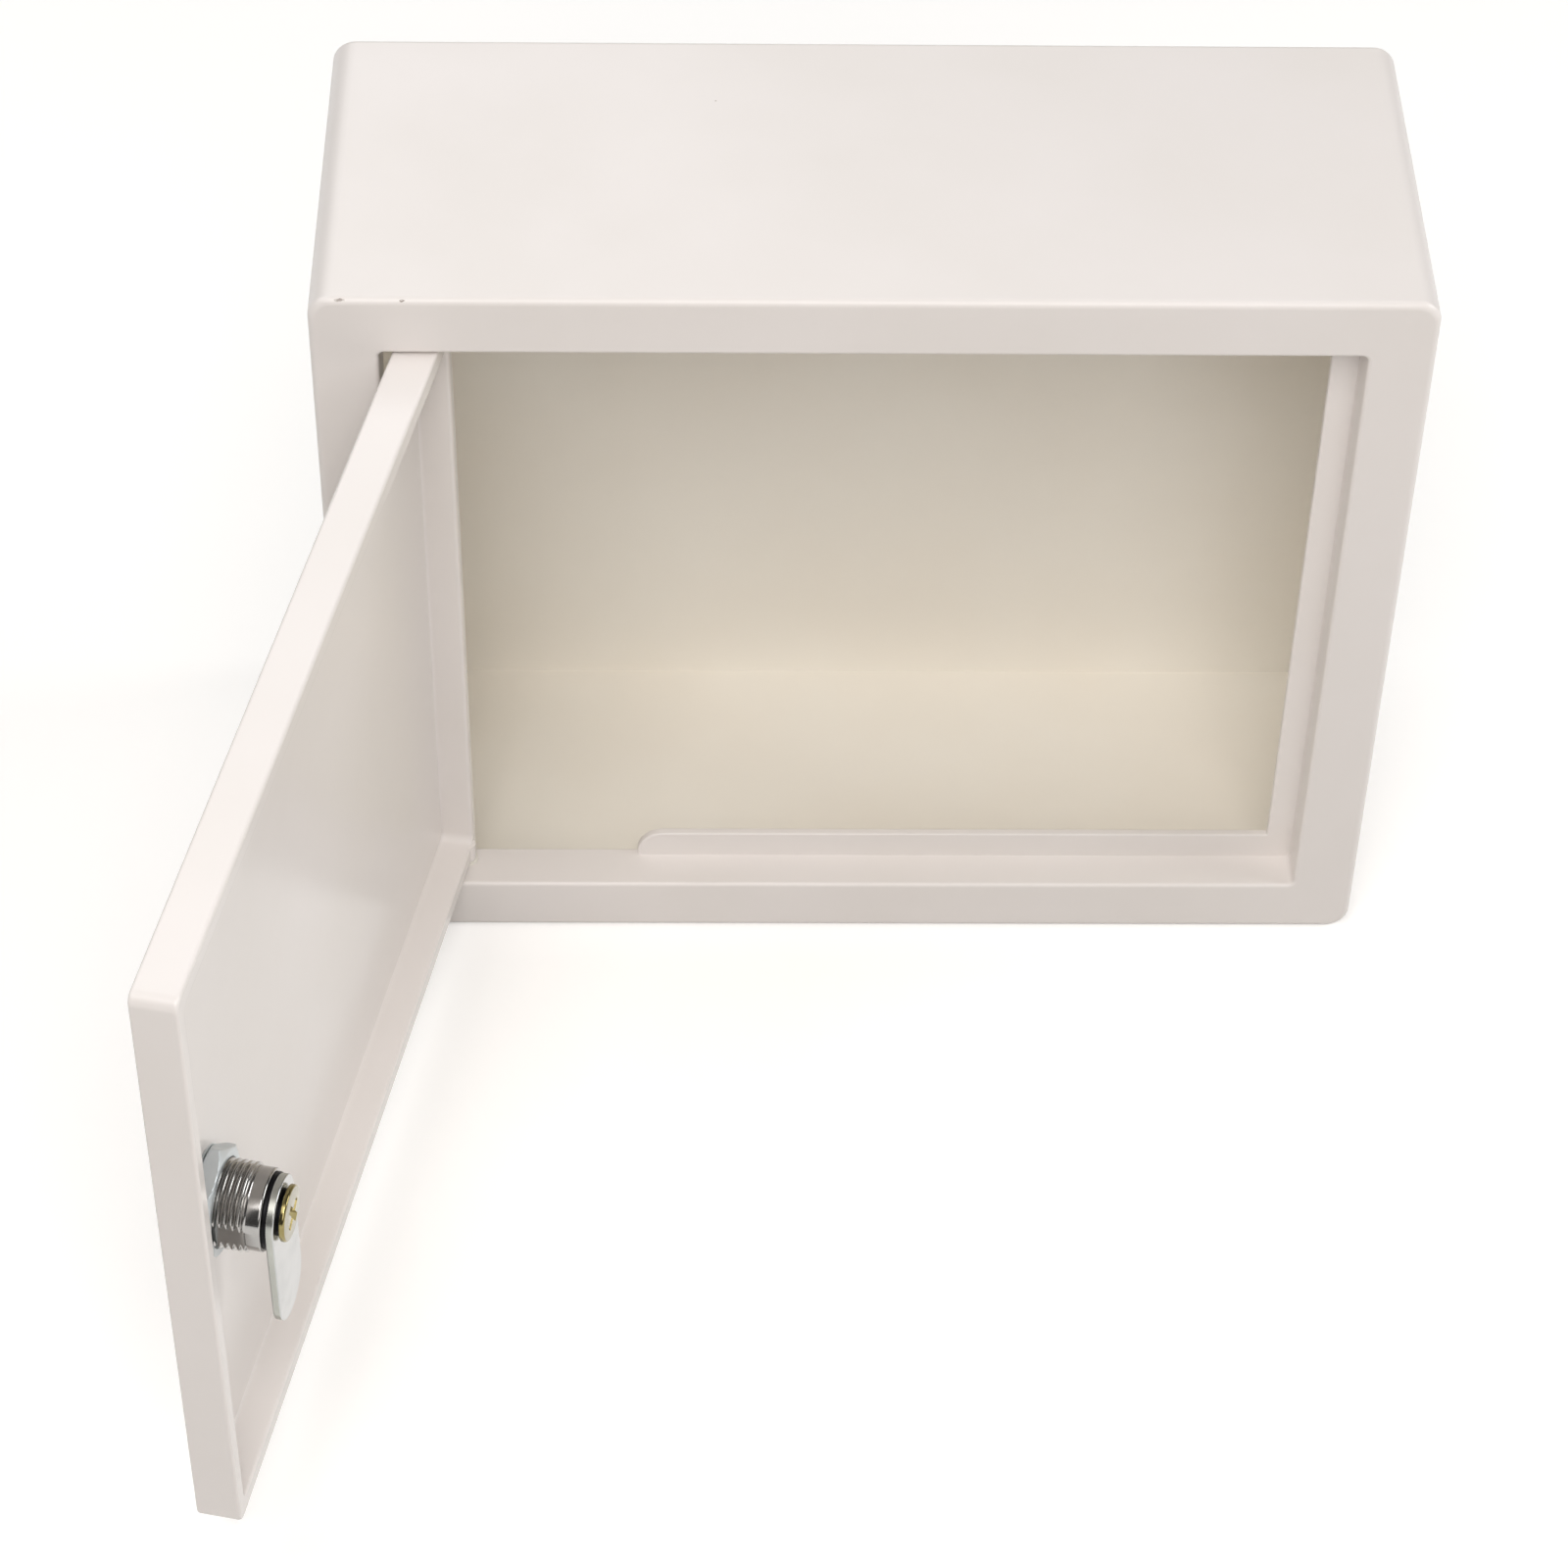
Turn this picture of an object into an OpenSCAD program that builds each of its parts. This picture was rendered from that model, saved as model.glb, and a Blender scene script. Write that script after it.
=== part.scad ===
// Lockable storage box: a shallow box with a hinged door and a cam lock.
// X runs along the front from the hinge side, Y from the front face to the back, Z up.
// The door is drawn open, turned about its hinge pins; everything on it turns along.

/* [Casing] */
// Outer width
body_w = 250; // [180:1:400]
// Outer height
body_h = 200.5; // [140:0.5:360]
// Outer depth, front face to back edge
body_d = 97; // [70:1:160]
// Radius of the four long edges
edge_r = 5.5; // [3.5:0.5:8]
// Rounding of the front and back rims
rim_r = 1.7; // [0.8:0.1:2.4]
// Wall thickness
wall = 3; // [2.5:0.5:4]
// Width of the front frame around the door
frame_w = 15.1; // [14:0.1:20]
// Radius of the opening's corners
opening_r = 1.5; // [1:0.1:1.6]
// Thickness of the flange that lines the opening
jamb_t = 2.6; // [2:0.1:3.5]

/* [Stop lip] */
// Gap between the closed door and the stop lip
lip_gap = 0.1; // [0.05:0.05:0.5]
// Lip thickness
lip_t = 2.1; // [1.6:0.1:3]
// Height of the lip at the top and bottom
lip_h = 7.5; // [6:0.5:9]
// Width of the lip at the lock side
lip_side = 6.3; // [5:0.1:8]
// Distance from the hinge axis to the start of the lip
lip_start = 42.6; // [35:0.2:60]
// Radius of the rounded start of the lip
lip_end_r = 6.5; // [4:0.5:6.5]

/* [Back panel] */
// Distance from the back edge to the panel's outer face
back_inset = 4.3; // [2:0.1:8]
// Panel thickness
back_t = 3; // [2:0.5:5]

/* [Door] */
// Door thickness over the rims
door_t = 10.1; // [9:0.1:12]
// Thickness of the flat skin
skin_t = 2.2; // [1.8:0.1:3]
// Gap around the door at the top, the bottom and the lock side
door_gap = 0.7; // [0.5:0.1:1.5]
// Width of the rim at the top and bottom
rim_w = 4.8; // [4:0.1:8]
// Width of the rim at the lock side
rim_free = 3.8; // [3:0.1:6]
// Corner radius of the door at the lock side
door_r = 2.6; // [1.2:0.2:4]
// Rounding of the door's edges
door_edge_r = 0.8; // [0.4:0.1:1]
// Corner radius of the recess behind the skin
recess_r = 2.2; // [1.5:0.1:4]
// Angle that the door stands open in this drawing
open_angle = 101.9; // [60:0.1:102]

/* [Hinge] */
// Hinge axis from the casing's left side
hinge_x = 28.4; // [27:0.1:34]
// Depth of the hinge axis under the rims
hinge_under = 1.4; // [1.2:0.1:2]
// Radius of the knuckles around the pins
knuckle_r = 2.2; // [2:0.1:2.6]
// Thickness of the rib between the knuckles
rib_t = 3; // [2.4:0.1:4]
// Pin radius
pin_r = 1; // [0.8:0.1:1.1]
// Running clearance around the pin
pin_fit = 0.05; // [0.03:0.01:0.08]
// Pin length inside the door
pin_in = 4; // [3:0.2:4.2]
// Pin length inside the casing
pin_out = 10; // [6:0.5:11]
// Radius of the boss that holds the pin in the casing
boss_r = 4.5; // [3.5:0.1:6]
// Clearance between the curved skirt and the jamb
skirt_gap = 0.4; // [0.3:0.1:1]
// Thickness of the curved skirt
skirt_t = 2; // [1.5:0.1:3]
// Free depth between the skirt's end and the rims
skirt_low = 3.2; // [2.5:0.1:5]
// Radius of the hinge washers
hinge_washer_r = 2.7; // [2.3:0.1:3.2]
// Play between washer and neighbour
washer_play = 0.1; // [0.05:0.05:0.3]

/* [Lock] */
// Distance from the lock axis to the door's free edge
lock_in = 21; // [18:0.5:24]
// Barrel radius over the thread
barrel_r = 9.5; // [8.5:0.1:10]
// Half of the width over the barrel's flats
flat_x = 8.6; // [7.6:0.1:9]
// Barrel length behind the door's outer face
barrel_l = 16.8; // [15.5:0.1:20]
// Radius of the outer flange
flange_r = 11.5; // [11:0.5:13]
// Thickness of the outer flange
flange_t = 2; // [1.5:0.1:3]
// Clearance between the barrel and the hole in the skin
hole_fit = 0.1; // [0.05:0.05:0.3]
// Lock washer radius
lock_washer_r = 11.6; // [11.2:0.1:13]
// Lock washer thickness
lock_washer_t = 0.5; // [0.4:0.1:1]
// Nut width over its flats
nut_af = 23; // [22:0.5:24]
// Nut thickness
nut_t = 4.2; // [3:0.1:4.5]
// Turn of the nut
nut_turn = 16; // [0:1:60]
// Plug radius
plug_r = 6; // [5.5:0.1:6.2]
// Plug head radius
plug_head_r = 7; // [6.8:0.1:7.4]
// Plug head depth
plug_head_t = 1.4; // [1:0.1:1.6]
// Running clearance around the plug
plug_fit = 0.05; // [0.03:0.01:0.08]
// Width of the plug's square tail
tail_w = 7; // [6:0.1:7.2]
// Keyway width
key_w = 1.9; // [1.5:0.1:2.2]
// Keyway height
key_h = 8; // [6.5:0.1:8.4]
// Depth of the keyway
key_d = 13; // [12:0.1:13.4]

/* [Wafers] */
// Number of wafers
wafer_n = 5; // [5:1:5]
// Distance between wafers
wafer_pitch = 2; // [1.8:0.1:2.1]
// Wafer thickness
wafer_t = 0.8; // [0.6:0.1:0.9]
// Wafer width
wafer_w = 4.4; // [4:0.1:4.6]
// Wafer height
wafer_h = 10.8; // [10:0.1:10.8]
// Clearance on each side of a wafer
wafer_fit = 0.05; // [0.03:0.01:0.08]
// Travel of a wafer
wafer_travel = 0.7; // [0.5:0.1:0.8]
// Spring radius
spring_r = 0.5; // [0.4:0.05:0.5]

/* [Cam] */
// Stop washer radius
stop_r = 8.2; // [6.8:0.1:8.4]
// Stop washer thickness
stop_t = 0.75; // [0.6:0.05:1.2]
// Cam thickness
cam_t = 1.8; // [1.5:0.1:2.5]
// Cam width
cam_w = 16; // [12:0.2:16.6]
// Cam reach, axis to tip
cam_l = 31.5; // [26:0.5:31.5]
// Spring washer radius
spring_washer_r = 5; // [4.5:0.1:5.5]
// Spring washer thickness
spring_washer_t = 0.65; // [0.5:0.05:1]
// Screw head radius
screw_head_r = 6.1; // [5.5:0.1:6.5]
// Screw head thickness
screw_head_t = 1.4; // [1:0.1:2]
// Screw shank radius
screw_r = 2.5; // [2:0.1:2.6]
// Screw length under the head
screw_l = 6.6; // [5:0.1:6.6]

/* [Hidden] */
$fn = 96;
open_x0 = frame_w;
open_x1 = body_w - frame_w;
open_z0 = frame_w;
open_z1 = body_h - frame_w;
lip_y = door_t + lip_gap;
lip_back = lip_y + lip_t;
hinge_y = door_t - hinge_under;
skirt_r = hinge_x - open_x0 - skirt_gap;
door_x1 = open_x1 - door_gap;
door_z0 = open_z0 + door_gap;
door_z1 = open_z1 - door_gap;
rib_x0 = hinge_x - 0.9 - rib_t;
rib_x1 = hinge_x - 0.9;
back_y1 = body_d - back_inset;
back_y0 = back_y1 - back_t;
lock_x = door_x1 - lock_in;
lock_z = body_h / 2;
plug_end = barrel_l + 0.05;
stop_y = plug_end;
cam_y = stop_y + stop_t;
spring_washer_y = cam_y + cam_t;
screw_y = spring_washer_y + spring_washer_t;
wafer_y0 = 0.9;
groove_w = wafer_w / 2 + 0.2;
groove_top = wafer_h / 2 + wafer_travel + 0.3;
ear_x1 = wafer_w / 2 + 1.2;
ear_z0 = -1;
ear_z1 = 0;
spring_x = wafer_w / 2 + 0.6;
spring_z0 = -3.9;

// Flat shapes are drawn in X and Z, and raised along Y.
module raise_y(y0, y1) {
    translate([0, y1, 0]) rotate([90, 0, 0]) linear_extrude(height = y1 - y0) children();
}

module rod_y(x, z, r, y0, y1) {
    translate([x, y1, z]) rotate([90, 0, 0]) cylinder(r = r, h = y1 - y0);
}

module rounded(x0, z0, x1, z1, r) {
    translate([x0 + r, z0]) square([x1 - x0 - 2 * r, z1 - z0]);
    translate([x0, z0 + r]) square([x1 - x0, z1 - z0 - 2 * r]);
    for (x = [x0 + r, x1 - r]) {
        for (z = [z0 + r, z1 - r]) {
            translate([x, z]) circle(r = r);
        }
    }
}

// The origin is the middle of the casing's underside.
module placed() {
    translate([-body_w / 2, -body_d / 2, 0]) children();
}

module opened() {
    placed() translate([hinge_x, hinge_y, 0]) rotate([0, 0, -open_angle])
        translate([-hinge_x, -hinge_y, 0]) children();
}

module raise_x(x0, x1) {
    translate([x0, 0, 0]) rotate([90, 0, 90]) linear_extrude(height = x1 - x0) children();
}

// Three rounded outlines, one along each direction, meet in the block.
module outer_block() {
    intersection() {
        raise_y(0, body_d) rounded(0, 0, body_w, body_h, edge_r);
        raise_x(-1, body_w + 1) rounded(0, 0, body_d, body_h, rim_r);
        translate([0, 0, -1]) linear_extrude(height = body_h + 2)
            rounded(0, 0, body_w, body_d, rim_r);
    }
}

// The stop lip: an L at the lock side and along the top and bottom, with rounded starts.
module lip_shape() {
    x0 = hinge_x + lip_start;
    difference() {
        union() {
            translate([x0 + lip_end_r, open_z0 - 1])
                square([open_x1 - x0 - lip_end_r + 1, lip_h + 1]);
            translate([x0, open_z0 - 1]) square([lip_end_r + 1, lip_h + 1 - lip_end_r]);
            translate([x0 + lip_end_r, open_z0 + lip_h - lip_end_r]) circle(r = lip_end_r);
            translate([x0 + lip_end_r, open_z1 - lip_h])
                square([open_x1 - x0 - lip_end_r + 1, lip_h + 1]);
            translate([x0, open_z1 - lip_h + lip_end_r])
                square([lip_end_r + 1, lip_h + 1 - lip_end_r]);
            translate([x0 + lip_end_r, open_z1 - lip_h + lip_end_r]) circle(r = lip_end_r);
            translate([open_x1 - lip_side, open_z0 - 1])
                square([lip_side + 1, open_z1 - open_z0 + 2]);
        }
        translate([0, -20]) square([body_w, open_z0 - 1 + 20]);
        translate([0, open_z1 + 1]) square([body_w, 20]);
    }
}

module casing() {
    color([0.93, 0.91, 0.88]) placed() difference() {
        union() {
            difference() {
                outer_block();
                raise_y(wall, body_d + 1)
                    rounded(wall, wall, body_w - wall, body_h - wall, edge_r - wall);
            }
            raise_y(0.5, lip_back) rounded(open_x0 - jamb_t, open_z0 - jamb_t,
                open_x1 + jamb_t, open_z1 + jamb_t, opening_r);
            translate([hinge_x, hinge_y, wall - 0.5])
                cylinder(r = boss_r, h = open_z0 - wall - 0.6);
            translate([hinge_x, hinge_y, open_z1 + 1.1])
                cylinder(r = boss_r, h = open_z0 - wall - 0.6);
        }
        difference() {
            raise_y(-1, lip_back + 5) rounded(open_x0, open_z0, open_x1, open_z1, opening_r);
            raise_y(lip_y, lip_back) lip_shape();
        }
        translate([hinge_x, hinge_y, open_z0 - pin_out])
            cylinder(r = pin_r, h = pin_out + 1);
        translate([hinge_x, hinge_y, open_z1 - 1]) cylinder(r = pin_r, h = pin_out + 1);
    }
}

module back_panel() {
    color([0.87, 0.83, 0.76]) placed() raise_y(back_y0, back_y1)
        rounded(wall, wall, body_w - wall, body_h - wall, edge_r - wall);
}

module flats(r, half) {
    intersection() {
        circle(r = r);
        square([2 * half, 3 * r], center = true);
    }
}

// Plan section of the hinge end: skin, rib and curved skirt.
module hinge_section() {
    difference() {
        union() {
            intersection() {
                union() {
                    difference() {
                        translate([hinge_x, hinge_y]) circle(r = skirt_r);
                        translate([hinge_x, hinge_y]) circle(r = skirt_r - skirt_t);
                    }
                    square([hinge_x, skin_t]);
                }
                square([rib_x0 + 1, door_t - skirt_low]);
                translate([hinge_x, hinge_y]) circle(r = skirt_r);
            }
            translate([rib_x0, 0]) square([rib_t, door_t]);
        }
        translate([-50, -50]) square([200, 50]);
    }
}

// Closed ends of the hinge section, as deep as the rims are wide.
module hinge_end_section() {
    intersection() {
        translate([hinge_x, hinge_y]) circle(r = skirt_r);
        square([rib_x0 + 1, door_t - skirt_low]);
    }
}

// The slab that the tray is cut from: rounded corners at the lock side, rounded edges all round.
module door_block() {
    intersection() {
        raise_y(0, door_t) union() {
            translate([rib_x0 + 0.5, door_z0])
                square([door_x1 - rib_x0 - 0.5 - door_r, door_z1 - door_z0]);
            translate([door_x1 - 10, door_z0 + door_r])
                square([10, door_z1 - door_z0 - 2 * door_r]);
            for (z = [door_z0 + door_r, door_z1 - door_r]) {
                translate([door_x1 - door_r, z]) circle(r = door_r);
            }
        }
        raise_x(0, body_w) rounded(0, door_z0, door_t, door_z1, door_edge_r);
        translate([0, 0, door_z0 - 1]) linear_extrude(height = door_z1 - door_z0 + 2)
            rounded(0, 0, door_x1, door_t, door_edge_r);
    }
}

// Rounds the front edges of the hinge end like those of the slab.
module hinge_end_round() {
    raise_x(0, body_w) rounded(0, door_z0, 3 * door_t, door_z1, door_edge_r);
}

module door() {
    color([0.93, 0.91, 0.88]) opened() difference() {
        union() {
            difference() {
                door_block();
                raise_y(skin_t, door_t + 5) rounded(rib_x1, door_z0 + rim_w,
                    door_x1 - rim_free, door_z1 - rim_w, recess_r);
            }
            intersection() {
                union() {
                    translate([0, 0, door_z0]) linear_extrude(height = door_z1 - door_z0)
                        hinge_section();
                    translate([0, 0, door_z0]) linear_extrude(height = rim_w)
                        hinge_end_section();
                    translate([0, 0, door_z1 - rim_w]) linear_extrude(height = rim_w)
                        hinge_end_section();
                    for (z = [door_z0, door_z1 - rim_w]) {
                        translate([hinge_x, hinge_y, z]) cylinder(r = knuckle_r, h = rim_w);
                    }
                }
                hinge_end_round();
            }
        }
        raise_y(-1, skin_t + 1) translate([lock_x, lock_z])
            flats(barrel_r + hole_fit, flat_x + hole_fit);
        translate([hinge_x, hinge_y, door_z0 - 1]) cylinder(r = pin_r + pin_fit, h = pin_in + 1.3);
        translate([hinge_x, hinge_y, door_z1 - pin_in - 0.3])
            cylinder(r = pin_r + pin_fit, h = pin_in + 1.3);
    }
}

module hinge_pin_bottom() {
    color([0.7, 0.7, 0.72]) placed() translate([hinge_x, hinge_y, open_z0 - pin_out])
        cylinder(r = pin_r, h = pin_out + door_gap + pin_in);
}

module hinge_pin_top() {
    color([0.7, 0.7, 0.72]) placed() translate([hinge_x, hinge_y, open_z1 - door_gap - pin_in])
        cylinder(r = pin_r, h = pin_out + door_gap + pin_in);
}

module hinge_washer(z) {
    translate([hinge_x, hinge_y, z]) difference() {
        cylinder(r = hinge_washer_r, h = door_gap - washer_play);
        translate([0, 0, -1]) cylinder(r = pin_r + pin_fit, h = 5);
    }
}

module hinge_washer_bottom() {
    color([0.9, 0.9, 0.88]) placed() hinge_washer(open_z0);
}

module hinge_washer_top() {
    color([0.9, 0.9, 0.88]) opened() hinge_washer(door_z1);
}

module lock_housing() {
    color([0.78, 0.78, 0.8]) opened() difference() {
        union() {
            rod_y(lock_x, lock_z, flange_r, -flange_t, 0);
            raise_y(-0.5, barrel_l) translate([lock_x, lock_z]) flats(barrel_r, flat_x);
        }
        rod_y(lock_x, lock_z, plug_r + plug_fit, -flange_t - 1, barrel_l + 1);
        rod_y(lock_x, lock_z, plug_head_r + plug_fit, -flange_t - 1,
            plug_head_t - flange_t + 0.05);
        raise_y(wafer_y0 - 0.3, wafer_y0 + wafer_n * wafer_pitch) translate([lock_x, lock_z])
            union() {
                translate([-groove_w, 0]) square([2 * groove_w, groove_top]);
                translate([-groove_top, -groove_w]) square([groove_top, 2 * groove_w]);
            }
    }
}

module lock_washer() {
    color([0.6, 0.6, 0.62]) opened() difference() {
        rod_y(lock_x, lock_z, lock_washer_r, skin_t, skin_t + lock_washer_t);
        raise_y(skin_t - 1, skin_t + lock_washer_t + 1) translate([lock_x, lock_z])
            flats(barrel_r, flat_x);
    }
}

module lock_nut() {
    y0 = skin_t + lock_washer_t;
    half = nut_af / 2;
    color([0.7, 0.74, 0.78]) opened() difference() {
        raise_y(y0, y0 + nut_t) translate([lock_x, lock_z]) rotate(90 - nut_turn)
            intersection() {
                square([2 * half, 4 * half], center = true);
                rotate(60) square([2 * half, 4 * half], center = true);
                rotate(120) square([2 * half, 4 * half], center = true);
            }
        rod_y(lock_x, lock_z, barrel_r, y0 - 1, y0 + nut_t + 1);
    }
}

module wafer_slot(i) {
    y0 = wafer_y0 + (i - 1) * wafer_pitch;
    f = wafer_fit;
    raise_y(y0 - f, y0 + wafer_t + f) translate([lock_x, lock_z]) union() {
        translate([-wafer_w / 2 - f, -10]) square([wafer_w + 2 * f, 20]);
        translate([0, spring_z0]) square([ear_x1 + f, ear_z1 + wafer_travel + f - spring_z0]);
    }
}

module lock_plug() {
    color([0.75, 0.72, 0.62]) opened() difference() {
        union() {
            rod_y(lock_x, lock_z, plug_head_r, -flange_t, plug_head_t - flange_t);
            rod_y(lock_x, lock_z, plug_r, -flange_t, plug_end);
            raise_y(plug_end - 1, spring_washer_y - 0.1) translate([lock_x, lock_z])
                square([tail_w, tail_w], center = true);
        }
        raise_y(-flange_t - 1, key_d - flange_t) translate([lock_x, lock_z])
            square([key_w, key_h], center = true);
        for (i = [1 : wafer_n]) {
            wafer_slot(i);
        }
        rod_y(lock_x, lock_z, screw_r, screw_y - screw_l - 0.4, screw_y + 1);
    }
}

module wafer(i) {
    y0 = wafer_y0 + (i - 1) * wafer_pitch;
    color([0.8, 0.65, 0.35]) opened() raise_y(y0, y0 + wafer_t) translate([lock_x, lock_z])
        difference() {
            union() {
                square([wafer_w, wafer_h], center = true);
                translate([0, ear_z0]) square([ear_x1, ear_z1 - ear_z0]);
            }
            translate([-key_w / 2 - 0.1, -key_h / 2 + 0.3 + 0.25 * ((i * 2) % 3)])
                square([key_w + 0.2, key_h - 1.2]);
        }
}

module wafer_1() {
    wafer(1);
}

module wafer_2() {
    wafer(2);
}

module wafer_3() {
    wafer(3);
}

module wafer_4() {
    wafer(4);
}

module wafer_5() {
    wafer(5);
}

module wafer_springs() {
    color([0.6, 0.6, 0.62]) opened() for (i = [1 : wafer_n]) {
        translate([lock_x + spring_x, wafer_y0 + (i - 1) * wafer_pitch + wafer_t / 2,
            lock_z + spring_z0]) difference() {
                cylinder(r = spring_r - 0.1, h = ear_z0 - spring_z0, $fn = 32);
                translate([0, 0, -1]) cylinder(r = spring_r - 0.25, h = 8, $fn = 32);
            }
    }
}

module square_hole_disc(r, y0, y1) {
    difference() {
        rod_y(lock_x, lock_z, r, y0, y1);
        raise_y(y0 - 1, y1 + 1) translate([lock_x, lock_z])
            square([tail_w, tail_w], center = true);
    }
}

module stop_washer() {
    color([0.12, 0.12, 0.13]) opened() square_hole_disc(stop_r, stop_y, stop_y + stop_t);
}

module cam() {
    color([0.8, 0.82, 0.84]) opened() difference() {
        raise_y(cam_y, cam_y + cam_t) translate([lock_x, lock_z]) union() {
            circle(r = cam_w / 2);
            translate([-cam_w / 2, cam_w / 2 - cam_l]) square([cam_w, cam_l - cam_w / 2]);
            translate([0, cam_w / 2 - cam_l]) circle(r = cam_w / 2);
        }
        raise_y(cam_y - 1, cam_y + cam_t + 1) translate([lock_x, lock_z])
            square([tail_w, tail_w], center = true);
    }
}

module spring_washer() {
    color([0.2, 0.2, 0.21]) opened() difference() {
        rod_y(lock_x, lock_z, spring_washer_r, spring_washer_y, screw_y);
        rod_y(lock_x, lock_z, screw_r, spring_washer_y - 1, screw_y + 1);
    }
}

module cam_screw() {
    color([0.83, 0.68, 0.3]) opened() difference() {
        union() {
            rod_y(lock_x, lock_z, screw_r, screw_y - screw_l, screw_y + 0.5);
            rod_y(lock_x, lock_z, screw_head_r, screw_y, screw_y + screw_head_t);
        }
        raise_y(screw_y + 0.5, screw_y + screw_head_t + 1) translate([lock_x, lock_z])
            union() {
                square([5.2, 1.3], center = true);
                square([1.3, 5.2], center = true);
            }
    }
}

casing();
back_panel();
door();
hinge_pin_top();
hinge_pin_bottom();
hinge_washer_top();
hinge_washer_bottom();
lock_housing();
lock_washer();
lock_nut();
lock_plug();
wafer_1();
wafer_2();
wafer_3();
wafer_4();
wafer_5();
wafer_springs();
stop_washer();
cam();
spring_washer();
cam_screw();
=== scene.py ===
"""Looks of a shallow lockable storage box: moulded white casing and tray door, and a cam lock."""

import logging
import math
from dataclasses import dataclass
from enum import Enum
from typing import Any, Callable, Sequence

import bmesh
import bpy
from mathutils import Matrix, Vector


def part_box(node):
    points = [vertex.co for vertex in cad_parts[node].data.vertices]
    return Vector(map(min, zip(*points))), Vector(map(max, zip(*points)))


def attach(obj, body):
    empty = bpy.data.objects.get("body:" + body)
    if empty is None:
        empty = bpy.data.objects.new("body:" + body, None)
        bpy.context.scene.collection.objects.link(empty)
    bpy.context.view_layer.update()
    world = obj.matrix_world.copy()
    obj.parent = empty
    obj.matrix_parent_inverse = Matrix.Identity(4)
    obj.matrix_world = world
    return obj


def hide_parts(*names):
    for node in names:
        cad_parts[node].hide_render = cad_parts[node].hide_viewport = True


LOG = logging.getLogger("storage_box")
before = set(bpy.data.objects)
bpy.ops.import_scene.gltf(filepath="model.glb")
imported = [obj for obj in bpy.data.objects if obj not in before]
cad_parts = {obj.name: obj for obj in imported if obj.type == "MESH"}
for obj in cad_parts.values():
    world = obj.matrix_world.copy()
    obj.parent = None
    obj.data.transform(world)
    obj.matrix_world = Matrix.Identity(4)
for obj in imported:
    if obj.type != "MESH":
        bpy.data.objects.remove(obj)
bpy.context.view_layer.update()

MM = 0.001
FULL_TURN = 2 * math.pi
ARC_STEPS = 8  # faces in a rounded corner
HOLD_MM = 0.06  # distance from an arc to the point that keeps the flat beside it flat
APART_MM = 0.02  # keeps the faces of shells that overlap out of one plane
MERGE_MM = 1e-4  # points nearer to each other than this become one
SHARP_DEG = 32.0  # edges that turn by more than this are shaded sharp
NOISE_LOW, NOISE_HIGH = 0.3, 0.7  # nearly all of a noise's values lie between these

Flat = tuple[float, float]
Corner = tuple[float, float, float]


class Region(Enum):
    """Material slots of a shell that has two finishes."""

    OUTSIDE = 0
    INSIDE = 1


@dataclass(frozen=True)
class BoxSizes:
    """Driving sizes in millimetres, as the closed box has them, from its front left foot."""

    width: float
    depth: float
    height: float
    frame_w: float = 15.1
    wall: float = 3.0
    door_t: float = 10.1
    skin_t: float = 2.2
    door_gap: float = 0.7
    hinge_x: float = 28.4
    hinge_y: float = 8.7
    open_deg: float = 101.9
    lock_in: float = 21.0

    @classmethod
    def from_frame(cls) -> "BoxSizes":
        """Takes the outer sizes from the CAD casing."""
        low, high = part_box("casing")
        return cls(*((high - low) / MM))

    @property
    def lock_x(self) -> float:
        """Distance of the lock's axis from the casing's left side."""
        return self.width - self.frame_w - self.door_gap - self.lock_in

    @property
    def lock_z(self) -> float:
        """Height of the lock's axis."""
        return self.height / 2

    def casing_place(self) -> Matrix:
        """Turns millimetres from the front left foot into the row frame."""
        return Matrix.Scale(MM, 4) @ Matrix.Translation((-self.width / 2, -self.depth / 2, 0))

    def door_place(self) -> Matrix:
        """Does the same for a point given on the closed door, with the door opened.

        Returns:
            The matrix from the closed door's millimetres to the row frame.
        """
        hinge = Vector((self.hinge_x, self.hinge_y, 0))
        turn = Matrix.Rotation(math.radians(-self.open_deg), 4, "Z")
        at_hinge = self.casing_place() @ Matrix.Translation(hinge)
        return at_hinge @ turn @ Matrix.Translation(-hinge)

    def lock_place(self) -> Matrix:
        """Places a piece that is drawn round the lock's axis, with Y into the box."""
        return self.door_place() @ Matrix.Translation((self.lock_x, 0, self.lock_z))

    def hinge_post(
        self, radius: float, foot: float, top: float, faces: int
    ) -> list[list[Corner]]:
        """Draws an upright cylinder round the hinge's axis.

        Args:
            radius: its radius.
            foot: height of its lower end.
            top: height of its upper end.
            faces: faces round it.

        Returns:
            The rings at its lower and its upper end.
        """
        angles = [FULL_TURN * k / faces for k in range(faces)]
        ring = [
            (self.hinge_x + radius * math.cos(a), self.hinge_y + radius * math.sin(a))
            for a in angles
        ]
        return [[(x, y, z) for x, y in ring] for z in (foot, top)]


def linear(hex_colour: str) -> tuple[float, float, float, float]:
    """Turns an sRGB hex colour into Blender's linear values.

    Args:
        hex_colour: six hex digits after a hash sign.

    Returns:
        Linear red, green, blue and an alpha of one.
    """
    values = [int(hex_colour[i : i + 2], 16) / 255 for i in (1, 3, 5)]
    curve = [v / 12.92 if v <= 0.04045 else ((v + 0.055) / 1.055) ** 2.4 for v in values]
    return (curve[0], curve[1], curve[2], 1.0)


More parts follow.
